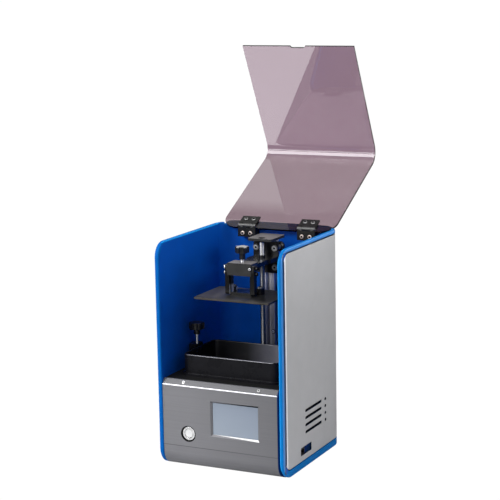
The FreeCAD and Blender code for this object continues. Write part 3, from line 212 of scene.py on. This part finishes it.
def vat_inside_painted_light():
    """Black alloy whose back wall gets painted light, paler towards the right where the left wall's shadow ends."""
    graph = Graph("vat_inside")
    factor = graph.noise(60)
    split = graph.add("ShaderNodeSeparateXYZ", {"Vector": graph.coordinates()})
    pale = graph.mixed(graph.spread(factor, 0, 1), grey(0.2, 0.2), grey(0.25, 0.2))
    values = {
        "Base Color": graph.mixed(graph.spread(split.outputs[0], 0, 1, -0.02, 0.05), grey(0.012, 0.2), pale),
        "Roughness": graph.spread(factor, 0.3, 0.4),
    }
    return graph.finish(graph.add("ShaderNodeBsdfPrincipled", values))


def clear(name, tint_low, tint_high, rough, ior, bands=()):
    graph = Graph(name)
    factor = graph.noise(20)
    values = {
        "Base Color": graph.banded(factor, tint_low, tint_high, bands),
        "Roughness": graph.spread(factor, 0, rough),
        "IOR": ior,
        "Transmission Weight": 1.0,
    }
    return graph.finish(graph.add("ShaderNodeBsdfPrincipled", values))


def circuit_material():
    """Green lacquer with paler traces."""
    graph = Graph("circuit")
    cells = graph.add("ShaderNodeTexVoronoi", {"Vector": graph.coordinates(), "Scale": 260}, distance="MANHATTAN")
    traces = graph.spread(cells.outputs["Distance"], 0, 1, 0.25, 0.5)
    values = {"Base Color": graph.mixed(traces, (0.008, 0.07, 0.03), (0.02, 0.16, 0.07)), "Roughness": 0.35}
    return graph.finish(graph.add("ShaderNodeBsdfPrincipled", values))


matt = {"Specular IOR Level": 0.2}
dull = {"Specular IOR Level": 0.12}
flat = {"Specular IOR Level": 0.02}
BLUE = surface("blue_paint", (0.001, 0.078, 0.43), (0.001, 0.088, 0.48), (0.4, 0.48), edge=0.6, extra=dull)
# The lips get a lighter, greener copy of the blue paint than the walls, and past x = 20 mm a lighter one still for the
# right lip: painted light.
LIP = surface("blue_lip", (0.003, 0.115, 0.44), (0.003, 0.128, 0.49), (0.4, 0.48), edge=0.6, extra=flat,
              bands=((0, -20, 20, (0.004, 0.15, 0.45), (0.004, 0.165, 0.50)),))
# Painted highlight along the lips' inner edges.
LIP_HIGHLIGHT = surface("blue_lip_highlight", (0.015, 0.30, 0.80), (0.015, 0.33, 0.88), (0.4, 0.48), extra=flat)
# Painted shade for the narrow gaps between the blue lips and the silver cover.
GAP_SHADE = (0.004, 0.03, 0.11)
# The lips' outer sides get a lighter copy of the blue paint (painted light), with a line of painted shade where they
# meet the gap to the cover and the lit blue again above 339.8 mm.
LIT_LIP_SIDE = surface("blue_lip_side_lit", (0.03, 0.20, 0.56), (0.035, 0.22, 0.62), (0.3, 0.4), edge=0.6,
                   bands=((1, -107.3, -106.7, GAP_SHADE, GAP_SHADE), (2, 339.4, 339.8, (0.03, 0.20, 0.56), (0.035, 0.22, 0.62))))
# Painted shade on the shell's recess under the cover, seen through the gap.
NAVY_SHADE = surface("blue_gap_shade", (0.001, 0.012, 0.045), (0.001, 0.016, 0.06), (0.5, 0.6), extra=flat)
# Painted shade on the shell's face inside the side port window.
WINDOW_SHADE = surface("blue_window_shade", (0.0, 0.013, 0.085), (0.0, 0.016, 0.10), (0.5, 0.6), extra=flat)
# The cover is dark at its front edge, in the gap to the lip (painted shade), then has a bright line along that edge
# (painted highlight), then its own satin grey.
SILVER = surface("satin_silver", GAP_SHADE, GAP_SHADE, (0.42, 0.48), 0.15, bump=0.02, edge=0.4,
                 extra={"Specular IOR Level": 0.35},
                 bands=((1, -101.0, -100.2, grey(0.86, 0.06), grey(0.90, 0.06)),
                        (1, -98, -95.5, grey(0.415, 0.03), grey(0.44, 0.03))))
PANEL = panel_material("grey_panel", 0.18, 0.20)
# The sloping strip gets a darker copy of the panel's grey because it faces away from the light: painted shade.
STRIP = panel_material("grey_strip_shaded", 0.088, 0.10)
# Painted highlight along the bend between the strip and the panel.
BEND_HIGHLIGHT = panel_material("grey_bend_highlight", 0.75, 0.85)
# Painted shade on recess walls: the display opening's left and upper bevels and the button's hollow.
BEVEL = surface("bevel_shade", grey(0.004), grey(0.007), (0.5, 0.6), extra=flat)
# Painted highlight on the display opening's upward-facing lower bevel.
LIGHT_BEVEL = surface("bevel_highlight", grey(0.75), grey(0.82), (0.3, 0.36), 0.3)
DARK_SHEET = surface("dark_sheet", grey(0.006), grey(0.009), (0.5, 0.6), edge=0.3, extra=dull)
RUBBER = surface("rubber", grey(0.012), grey(0.02), (0.75, 0.9), bump=0.2)
# The lid's sheet above 436 mm up, beyond the bend, gets a slightly deeper tint than the sheet below: painted shade.
LID = clear("tinted_acrylic", (0.292, 0.211, 0.243), (0.302, 0.219, 0.252), 0.02, 1.49,
            bands=((2, 424, 436, (0.28, 0.186, 0.24), (0.29, 0.194, 0.25)),))
# Painted highlight along the hinge knuckles.
KNUCKLE_HIGHLIGHT = surface("hinge_knuckle_highlight", grey(0.035), grey(0.055), (0.35, 0.45), grain=200.0)
HINGE_BLACK = surface("black_hinge", grey(0.005), grey(0.009), (0.3, 0.4), edge=0.4, extra=matt)
BLACK = surface("black_alloy", grey(0.006), grey(0.010), (0.2, 0.28), bump=0.02, edge=0.35, extra=matt)
VAT = surface("vat_alloy", grey(0.005, 0.3), grey(0.008, 0.3), (0.24, 0.32), bump=0.02, edge=0.5, extra=dull)
# Painted highlight along the top of the vat's front rim.
VAT_RIM_HIGHLIGHT = surface("vat_rim_highlight", grey(0.13, 0.1), grey(0.17, 0.1), (0.3, 0.4), 0.4)
VAT_INSIDE_LIT = vat_inside_painted_light()
BRACKET = surface("bracket_alloy", grey(0.020), grey(0.027), (0.2, 0.28), bump=0.02, edge=0.4)
# Painted sheen on the upward top faces of the black bracket and top plate.
SHEEN_ON_TOPS = surface("top_painted_sheen", (0.15, 0.14, 0.143), (0.19, 0.178, 0.182), (0.3, 0.4), 0.3, bump=0.02)
# Painted light on the knob's top face.
LIT_KNOB_FACE = surface("knob_painted_light", grey(0.32), grey(0.42), (0.3, 0.4))
# A pale patch on the left tab's and leg's inner faces below 271 mm, black above 275 mm: painted highlight.
TAB_HIGHLIGHT = surface("tab_painted_highlight", grey(0.55), grey(0.9), (0.4, 0.5), grain=250.0,
               bands=((2, 271, 275, grey(0.008), grey(0.012)),))
# The plate's own mottled alloy, with painted shade past x = -12 mm under the bracket and a lighter strip along its
# front edge as a painted highlight.
PLATE = surface("plate_alloy", (0.05, 0.047, 0.043), (0.14, 0.13, 0.12), (0.3, 0.42), 0.1, grain=55.0,
                stretch=(1, 0.35, 1), edge=0.3, extra=matt,
                bands=((0, -32, -12, grey(0.006), grey(0.022)),
                       (1, -52, -62, (0.030, 0.028, 0.024), (0.075, 0.068, 0.062))))
RAW = surface("raw_alloy", grey(0.42, 0.08), grey(0.50, 0.08), (0.3, 0.42), 0.8, grain=70.0)
# The column's alloy, lighter above 262 mm where it is lit: painted light.
COLUMN_LIT_ABOVE = surface("column_alloy_lit_above", grey(0.34, 0.12), grey(0.42, 0.12), (0.3, 0.42), 0.6, grain=70.0, stretch=(1, 1, 0.03),
                 bands=((2, 250, 262, grey(0.55, 0.08), grey(0.62, 0.08)),))
STEEL = surface("steel", grey(0.45), grey(0.56), (0.28, 0.40), 1.0, grain=200.0, edge=0.2)
# The lead screw's steel, lighter above 296 mm: painted light.
ROD_LIT_ABOVE = surface("rod_steel_lit_above", grey(0.20), grey(0.25), (0.3, 0.38), 1.0, grain=200.0,
              bands=((2, 290, 296, grey(0.40), grey(0.48)),))
SATIN_STEEL = surface("satin_steel", grey(0.30), grey(0.38), (0.4, 0.5), 0.5, grain=200.0)
BRONZE = surface("bronze_steel", (0.52, 0.44, 0.40), (0.62, 0.53, 0.48), (0.4, 0.5), 0.8, grain=200.0)
DARK_STEEL = surface("dark_steel", grey(0.16), grey(0.24), (0.3, 0.4), 0.8, grain=200.0)
CHROME = surface("chrome", grey(0.62), grey(0.72), (0.2, 0.28), 1.0, edge=0.25)
CAP = surface("cap_white", grey(0.72), grey(0.8), (0.3, 0.4), 0.3, edge=0.2)
BRIGHT = surface("bright_zinc", grey(0.8), grey(0.9), (0.35, 0.45), 0.3, grain=200.0)
PLASTIC = surface("black_plastic", grey(0.008), grey(0.012), (0.18, 0.28), bump=0.03, edge=0.6)
SCREEN = screen_material()
LCD = surface("lcd_screen", grey(0.008, 0.3), grey(0.013, 0.3), (0.08, 0.14))
FILM = clear("vat_film", (0.88, 0.89, 0.9), (0.93, 0.93, 0.94), 0.06, 1.35)
LENS = clear("led_lens", (0.9, 0.9, 0.92), (0.95, 0.95, 0.96), 0.03, 1.5)
CIRCUIT = circuit_material()
SOCKET = surface("socket_metal", grey(0.02), grey(0.04), (0.3, 0.4), 0.6, grain=150.0)
MOTOR = surface("motor_case", grey(0.014), grey(0.024), (0.4, 0.5), edge=0.4)
# Near-black painted shade for screw recesses, the side openings, the top plate's bore, the top bearing and the lead
# screw's end.
RECESS_SHADE = surface("recess_shade", grey(0.003), grey(0.006), (0.7, 0.8), extra=flat)

LOOKS = {
    "blue_paint": BLUE, "satin_silver": SILVER, "grey_panel": PANEL, "dark_sheet": DARK_SHEET, "rubber": RUBBER,
    "tinted_acrylic": LID, "black_hinge": HINGE_BLACK, "black_alloy": BLACK, "plate_alloy": PLATE, "raw_alloy": RAW,
    "steel": STEEL, "chrome": CHROME, "black_plastic": PLASTIC, "display": SCREEN, "screen": LCD,
    "film": FILM, "lens": LENS, "circuit": CIRCUIT, "socket_metal": SOCKET, "motor": MOTOR,
}
OWN_LOOKS = {
    # The top bearing, seen down the top plate's bore, gets painted shade.
    "top_bearing": RECESS_SHADE, "z_column": COLUMN_LIT_ABOVE, "leveling_screws": BLACK, "axle_bolts": DARK_STEEL, "vat": VAT,
    "upper_bracket": BRACKET, "top_plate": BRACKET, "button_cap": CAP,
}
for part in frame["record"]["subparts"]:
    shown = nodes[part["node"]]
    shown.data.materials.clear()
    shown.data.materials.append(OWN_LOOKS.get(part["node"], LOOKS[part["material_slot"]]))


def paint(node, look, chosen):
    """Gives the faces that a test chooses a look of their own."""
    mesh = nodes[node].data
    mesh.materials.append(look)
    for face in mesh.polygons:
        if chosen(face.center / MM, face.normal):
            face.material_index = len(mesh.materials) - 1


def depth_in_wall(at):
    """How far a point lies inside the outline of the body's plan."""
    across, along = abs(at.x) - (HALF_WIDTH - PLAN_RADIUS), at.y - (HALF_DEPTH - PLAN_RADIUS)
    if across > 0 and along > 0:
        return PLAN_RADIUS - math.hypot(across, along)
    return min(HALF_WIDTH - abs(at.x), HALF_DEPTH - at.y)


def past_recess(at):
    """Whether a point lies on the front or top lip, past the cover's recess."""
    return at.y < FRONT_LIP or at.z > TOP_LIP


def in_side_openings(at):
    return -54 < at.y < 46 and 22 < at.z < 93


def in_display(at):
    return -14.5 < at.x < 61 and 59 < at.z < 111


# Painted light: the lit copy of the blue paint on the lips.
paint("inner_shell", LIP, lambda at, normal: past_recess(at) or at.z < BOTTOM_LIP)
# Painted highlight on the inner edge of the right front lip and of both top lips.
paint("inner_shell", LIP_HIGHLIGHT, lambda at, normal: 96.45 < abs(at.x) < 98.9 and normal.x * at.x < -20 and (
    at.y < -108.5 and at.x > 0 or at.z > 341.6))
# Painted light and shade on the lips' outer sides.
paint("inner_shell", LIT_LIP_SIDE, lambda at, normal: abs(at.x) > 102.2 and abs(normal.x) > 0.5 and past_recess(at))
# Painted shade in the recess under the cover's edges.
paint("inner_shell", NAVY_SHADE, lambda at, normal: (
    0.02 < depth_in_wall(at) < 2.55 and at.y > FRONT_LIP and BOTTOM_LIP < at.z < TOP_LIP))
paint("inner_shell", LIP, lambda at, normal: normal.z > 0.9 and 13.5 < at.z < 14.5)
# Painted shade inside the port window.
paint("inner_shell", WINDOW_SHADE, lambda at, normal: (
    100 < at.x < 101 and normal.x > 0.9 and -52 < at.y < -10 and 22 < at.z < 38))
# Painted shade inside the side openings.
paint("outer_cover", RECESS_SHADE, lambda at, normal: at.x > 100 and abs(normal.x) < 0.3 and in_side_openings(at))
paint("inner_shell", RECESS_SHADE, lambda at, normal: at.x > 96.6 and abs(normal.x) < 0.3 and in_side_openings(at))
# Painted highlight on the bend below the strip.
paint("front_panel", BEND_HIGHLIGHT, lambda at, normal: 128 < at.z < 132.5 and 0.03 < normal.z < 0.6 and normal.y < -0.7)
# Painted shade on the sloping strip.
paint("front_panel", STRIP, lambda at, normal: normal.y < -0.2 and 0.5 < normal.z < 0.95 and at.z > 131)
# Painted highlight on the front rim only.
paint("vat", VAT_RIM_HIGHLIGHT, lambda at, normal: normal.z > 0.3 and 168.5 < at.z < 170.5 and at.y < -74.5 and abs(at.x) < 72)
# Painted light on the inner face of the vat's back wall.
paint("vat", VAT_INSIDE_LIT, lambda at, normal: normal.y < -0.7 and 20 < at.y < 28)
# Painted light on the top faces of the bracket, top plate and knob.
for node, look in (("upper_bracket", SHEEN_ON_TOPS), ("top_plate", SHEEN_ON_TOPS), ("plate_knob", LIT_KNOB_FACE)):
    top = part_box(node)[1][2] / MM
    paint(node, look, lambda at, normal: normal.z > 0.7 and at.z > top - 1)
# Painted shade in the top plate's bore.
paint("top_plate", RECESS_SHADE, lambda at, normal: math.hypot(at.x, at.y - SCREW_Y) < 8.2 and abs(normal.z) < 0.5)
# Painted highlight on the left tab's inner face.
paint("lower_bracket", TAB_HIGHLIGHT, lambda at, normal: -17 < at.x < -15 and normal.x > 0.7)
# Painted light: the left levelling screws get bright and satin steel, the right ones stay black.
paint("leveling_screws", BRIGHT, lambda at, normal: at.x < 0 and at.z > 295)
paint("leveling_screws", SATIN_STEEL, lambda at, normal: at.x < 0 and at.z < 295)
paint("upper_bracket", BLACK, lambda at, normal: at.z < 287)
# Painted highlight on the left leg's inner face.
paint("upper_bracket", TAB_HIGHLIGHT, lambda at, normal: -18.5 < at.x < -17 and normal.x > 0.7)
for node in ("hinge_wall_leaves", "hinge_lid_leaves"):
    # Painted highlight on the knuckle faces.
    paint(node, KNUCKLE_HIGHLIGHT, lambda at, normal: math.hypot(at.y - HINGE.y, at.z - HINGE.z) < 3.3 and abs(normal.x) < 0.5)
# Painted shade on the display opening's left and upper bevels.
paint("front_panel", BEVEL, lambda at, normal: (
    normal.y < -0.5 and (normal.x > 0.5 or normal.z < -0.5) and in_display(at)))
# Painted highlight on the lower bevel.
paint("front_panel", LIGHT_BEVEL, lambda at, normal: normal.y < -0.5 and normal.z > 0.5 and in_display(at))
# Painted shade on the walls of the button's hollow.
paint("front_panel", BEVEL, lambda at, normal: normal.y > -0.9 and math.hypot(at.x - BUTTON_X, at.z - BUTTON_Z) < 13)


# Small pieces, drawn in millimetres

def piece(name, points, faces, look, body, smooth=False):
    mesh = bpy.data.meshes.new(name)
    mesh.from_pydata([tuple(Vector(point) * MM) for point in points], [], faces)
    mesh.update()
    mesh.polygons.foreach_set("use_smooth", [smooth] * len(mesh.polygons))
    mesh.materials.append(look)
    made = bpy.data.objects.new(name, mesh)
    bpy.context.scene.collection.objects.link(made)
    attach(made, body)
    return made


def stack(rings, close_first=True, close_last=True):
    """Faces that join rings of equally many points, with closed ends."""
    count = len(rings[0])
    points = [point for ring in rings for point in ring]
    faces = []
    for level in range(len(rings) - 1):
        for step in range(count):
            after = (step + 1) % count
            low, high = level * count, (level + 1) * count
            faces.append((low + step, low + after, high + after, high + step))
    if close_first:
        faces.append(tuple(reversed(range(count))))
    if close_last:
        last = (len(rings) - 1) * count
        faces.append(tuple(range(last, last + count)))
    return points, faces


def turned(normal, at):
    """The matrix that takes a piece drawn along +Z to a place and a direction."""
    turn = Vector((0, 0, 1)).rotation_difference(Vector(normal)).to_matrix().to_4x4()
    return Matrix.Translation(Vector(at)) @ turn


def hexagon(angle, reach):
    step = math.radians(60)
    return reach / math.cos((angle % step) - step / 2)


def cross(angle, reach, width=0.32):
    quarter = math.radians(90)
    off = abs(((angle + quarter / 2) % quarter) - quarter / 2)
    return min(reach / math.cos(off), reach * width / max(math.sin(off), 1e-6))


def screw_head(name, at, normal, radius, height, drive, body, look=None, count=48):
    """A domed head with a recess of the drive's outline."""
    move = turned(normal, at)
    angles = [2 * math.pi * step / count for step in range(count)]

    def ring(reach, level):
        return [move @ Vector((reach(angle) * math.cos(angle), reach(angle) * math.sin(angle), level))
                for angle in angles]

    profile = [(radius, 0), (radius, height * 0.45), (radius * 0.93, height * 0.75), (radius * 0.75, height)]
    rings = [ring(lambda angle, reach=reach: reach, level) for reach, level in profile]
    inside = [ring(lambda angle: drive(angle, radius * 0.52), level) for level in (height, height * 0.3)]
    points, faces = stack(rings + inside)
    made = piece(name, points, faces, look or STEEL, body)
    # The drive recess gets painted shade.
    made.data.materials.append(RECESS_SHADE)
    for face in made.data.polygons[4 * count:]:
        face.material_index = 1
    made.data.polygons[5 * count].material_index = 0
    return made


def washer(name, at, normal, radius, height, look, body, count=40):
    move = turned(normal, at)
    angles = [2 * math.pi * step / count for step in range(count)]
    rings = [[move @ Vector((reach * math.cos(angle), reach * math.sin(angle), level)) for angle in angles]
             for reach, level in ((radius, 0), (radius, height * 0.6), (radius - height * 0.4, height))]
    points, faces = stack(rings)
    return piece(name, points, faces, look, body)


def thread(name, node, root, crest, pitch, starts, body, look, steps=7, count=24, end=None):
    """A threaded rod that stands for a plain one."""
    low, high = [Vector(corner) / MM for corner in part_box(node)]
    middle = (low + high) / 2
    levels = int((high.z - low.z) / pitch * steps)
    rings = []
    for level in range(levels + 1):
        height = low.z + (high.z - low.z) * level / levels
        ring = []
        for step in range(count):
            angle = 2 * math.pi * step / count
            phase = ((height - low.z) / pitch - starts * angle / (2 * math.pi)) % 1
            reach = root + (crest - root) * min(1, max(0, 2.2 * (1 - abs(2 * phase - 1)) - 0.6))
            ring.append((middle.x + reach * math.cos(angle), middle.y + reach * math.sin(angle), height))
        rings.append(ring)
    points, faces = stack(rings)
    made = piece(name, points, faces, look, body, smooth=True)
    if end:
        made.data.materials.append(end)
        made.data.polygons[-1].material_index = 1
    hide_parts(node)
    return made


thread("lead_screw_thread", "lead_screw", 3.88, 4.0, 1.0, 1, "drive_screw", ROD_LIT_ABOVE, end=RECESS_SHADE)

for side, sign in (("left", -1), ("right", 1)):
    # The left screw gets a paler steel than the right: painted light.
    screw_head(f"panel_screw_{side}", (62 * sign, -106.5, 134.9), STRIP_NORMAL, 2.6, 1.2, cross, "housing",
               look=SATIN_STEEL if sign > 0 else BRIGHT)
    thread(f"vat_stud_thread_{side}", f"vat_stud_{side}", 2.42, 2.5, 0.7, 1, f"vat_clamp_{side}", STEEL, 6, 20)
    for place, shift in (("a", -6.65), ("b", 6.65)):
        x = 51 * sign + shift
        screw_head(f"wall_leaf_screw_{side}_{place}", (x, 91.5, 329), (0, -1, 0), 3.3, 1.8, hexagon, "housing",
                   look=BRONZE)
        at = HINGE + Vector((x, 0, 0)) + LID_ALONG * 13 + LID_INSIDE * 2.5
        screw_head(f"lid_leaf_screw_{side}_{place}", at, LID_INSIDE, 3.4, 1.5, hexagon, "lid", look=DARK_STEEL)
    for level in (315.5, 285.5):
        screw_head(f"axle_head_{side}_{level:.0f}", (15.7 * sign, 51.2, level), (0, -1, 0), 3.3, 0.6, hexagon, "lift",
                   look=SATIN_STEEL)
    for level in (299.3, 291):
        # Painted light: the left heads get chrome and satin steel, the right ones black.
        look = BLACK if sign > 0 else CHROME if level > 295 else SATIN_STEEL
        screw_head(f"level_head_{side}_{level:.0f}", (27.3 * sign, -32.2, level), (sign, 0, 0), 2.6, 0.4, hexagon,
                   "lift", look=look)
thread("plate_stud_thread", "plate_stud", 2.9, 3.0, 0.8, 1, "plate_clamp", STEEL, 6, 20)
washer("column_washer", (7.2, 62, 181.5), (0, -1, 0), 3.6, 0.8, DARK_SHEET, "housing")
screw_head("column_screw", (7.2, 61.2, 181.5), (0, -1, 0), 2.4, 1.6, cross, "housing", look=BRIGHT)
for side, sign in (("left", -1), ("right", 1)):
    screw_head(f"boss_screw_{side}", (22.5 * sign, -14, 266), (0, 0, 1), 4.6, 2.6, hexagon, "lift", look=DARK_STEEL)
screw_head("skirt_screw", (17.6, -39.5, 299), (0, -1, 0), 2.1, 1.3, hexagon, "lift", look=BRIGHT)


# Stage, light and camera

def world():
    made = bpy.data.worlds.new("studio")
    bpy.context.scene.world = made
    made.use_nodes = True
    tree = made.node_tree
    tree.nodes.clear()
    ray = tree.nodes.new("ShaderNodeLightPath")
    seen = tree.nodes.new("ShaderNodeMath")
    seen.operation = "MAXIMUM"
    tree.links.new(ray.outputs["Is Camera Ray"], seen.inputs[0])
    tree.links.new(ray.outputs["Is Transmission Ray"], seen.inputs[1])
    place = tree.nodes.new("ShaderNodeTexCoord")
    split = tree.nodes.new("ShaderNodeSeparateXYZ")
    tree.links.new(place.outputs["Generated"], split.inputs[0])
    low = tree.nodes.new("ShaderNodeMapRange")
    for key, value in (("From Min", 0.3), ("From Max", 0.6), ("To Min", 1), ("To Max", 0.6)):
        low.inputs[key].default_value = value
    tree.links.new(split.outputs[2], low.inputs["Value"])
    mirrored = tree.nodes.new("ShaderNodeMath")
    mirrored.operation = "MULTIPLY"
    tree.links.new(ray.outputs["Is Glossy Ray"], mirrored.inputs[0])
    tree.links.new(low.outputs[0], mirrored.inputs[1])
    either = tree.nodes.new("ShaderNodeMath")
    either.operation = "MAXIMUM"
    tree.links.new(seen.outputs[0], either.inputs[0])
    tree.links.new(mirrored.outputs[0], either.inputs[1])
    soft, white, mix = (tree.nodes.new(kind) for kind in
                        ("ShaderNodeBackground", "ShaderNodeBackground", "ShaderNodeMixShader"))
    soft.inputs["Color"].default_value = (0.95, 0.97, 1, 1)
    soft.inputs["Strength"].default_value = 0.12
    white.inputs["Color"].default_value = (1, 1, 1, 1)
    white.inputs["Strength"].default_value = WHITE_LEVEL
    out = tree.nodes.new("ShaderNodeOutputWorld")
    tree.links.new(either.outputs[0], mix.inputs[0])
    tree.links.new(soft.outputs[0], mix.inputs[1])
    tree.links.new(white.outputs[0], mix.inputs[2])
    tree.links.new(mix.outputs[0], out.inputs[0])


def floor():
    mesh = bpy.data.meshes.new("floor")
    reach = 6
    corners = [(-reach, -reach, 0), (reach, -reach, 0), (reach, reach, 0), (-reach, reach, 0)]
    mesh.from_pydata(corners, [], [(0, 1, 2, 3)])
    made = bpy.data.objects.new("floor", mesh)
    bpy.context.scene.collection.objects.link(made)
    graph = Graph("floor_white")
    tone = graph.mixed(graph.spread(graph.noise(2), 0, 1), (0.74, 0.74, 0.75), (0.78, 0.78, 0.79))
    away = graph.add("ShaderNodeVectorMath", {0: graph.coordinates()}, operation="LENGTH").outputs["Value"]
    tone = graph.mixed(graph.spread(away, 0, 1, 0.55, 1.0), tone, (0.05, 0.05, 0.05))
    pale = graph.add("ShaderNodeBsdfPrincipled", {"Base Color": tone, "Roughness": 0.6, "Specular IOR Level": 0.1})
    white = graph.add("ShaderNodeEmission", {"Color": (1, 1, 1, 1), "Strength": WHITE_LEVEL})
    ray = graph.add("ShaderNodeLightPath")
    seen = graph.add("ShaderNodeMath", {0: ray.outputs["Is Camera Ray"], 1: ray.outputs["Is Transmission Ray"]},
                     operation="MAXIMUM")
    mix = graph.add("ShaderNodeMixShader", {0: seen.outputs[0], 1: pale.outputs[0], 2: white.outputs[0]})
    mesh.materials.append(graph.finish(mix))


def softbox(name, at, target, width, height, power, colour=(1, 1, 1)):
    light = bpy.data.lights.new(name, "AREA")
    light.shape = "RECTANGLE"
    light.size, light.size_y = width, height
    light.energy = power
    light.color = colour
    made = bpy.data.objects.new(name, light)
    made.location = at
    made.visible_camera = made.visible_transmission = False
    made.rotation_euler = (Vector(target) - Vector(at)).to_track_quat("-Z", "Y").to_euler()
    bpy.context.scene.collection.objects.link(made)


def card(name, corners, radiance, fade=None):
    """A bright sheet that only mirror-like surfaces see; it may fade in along Y."""
    mesh = bpy.data.meshes.new(name)
    mesh.from_pydata(corners, [], [tuple(range(len(corners)))])
    made = bpy.data.objects.new(name, mesh)
    bpy.context.scene.collection.objects.link(made)
    graph = Graph(name)
    if fade:
        radiance = graph.multiplied(graph.step(1, *fade), radiance)
    mesh.materials.append(graph.finish(graph.add("ShaderNodeEmission", {"Strength": radiance})))
    for ray in ("camera", "diffuse", "transmission", "volume_scatter", "shadow"):
        setattr(made, "visible_" + ray, False)


def camera():
    azimuth, elevation, roll = (math.radians(angle) for angle in (26.195, 10.258, -1.041))
    right = Vector((math.cos(azimuth), math.sin(azimuth), 0))
    level = math.cos(elevation)
    back = Vector((math.sin(azimuth) * level, -math.cos(azimuth) * level, math.sin(elevation)))
    up = back.cross(right)
    across = math.cos(roll) * right + math.sin(roll) * up
    upward = math.cos(roll) * up - math.sin(roll) * right
    lens = bpy.data.cameras.new("camera")
    lens.lens = 111.15
    lens.sensor_width = 36
    made = bpy.data.objects.new("camera", lens)
    turn = Matrix((across, upward, back)).transposed().to_4x4()
    made.matrix_world = Matrix.Translation((1.011207, -2.05644, 0.735396)) @ turn
    bpy.context.scene.collection.objects.link(made)
    bpy.context.scene.camera = made


world()
floor()
MIDDLE = (0, 0, 0.2)
softbox("key", (-1.12, -1.8, 1.68), MIDDLE, 1.25, 1.25, 62)
softbox("side", (1.15, -0.5, 1.25), (0.1, 0, 0.25), 0.8, 0.8, 2)
softbox("wall_wash", (0.5, 0, 0.45), (0.1, 0, 0.3), 0.3, 0.3, 1.3)
softbox("rim_wash", (0.25, 0, 0.42), (0.103, 0, 0.28), 0.3, 0.05, 0.12)
softbox("top", (0, -0.5, 1.3), (0, 0.1, 0.32), 0.5, 0.5, 4)
softbox("fill", (0.5, -2.3, 0.8), MIDDLE, 1.0, 1.0, 4)
LOW, HIGH = 0.004, 1.55
card("floor_card", [(-0.277, -0.271, LOW), (-0.325, 0.075, LOW), (-1.5, 0.075, LOW), (-1.5, -0.271, LOW)], 5.5)
card("high_card", [(-0.59, 0.672, HIGH), (-0.613, 0.714, HIGH), (-0.73, 0.931, HIGH), (-1.5, 0.931, HIGH),
                   (-1.5, 0.672, HIGH)], 1.75, fade=(690, 730))
card("bend_card", [(-1.75, -1.75, 0.95), (-0.75, -2.35, 0.95), (-0.82, -2.45, 0.55), (-1.82, -1.85, 0.55)], 9)
camera()

scene = bpy.context.scene
scene.view_settings.view_transform = "Standard"
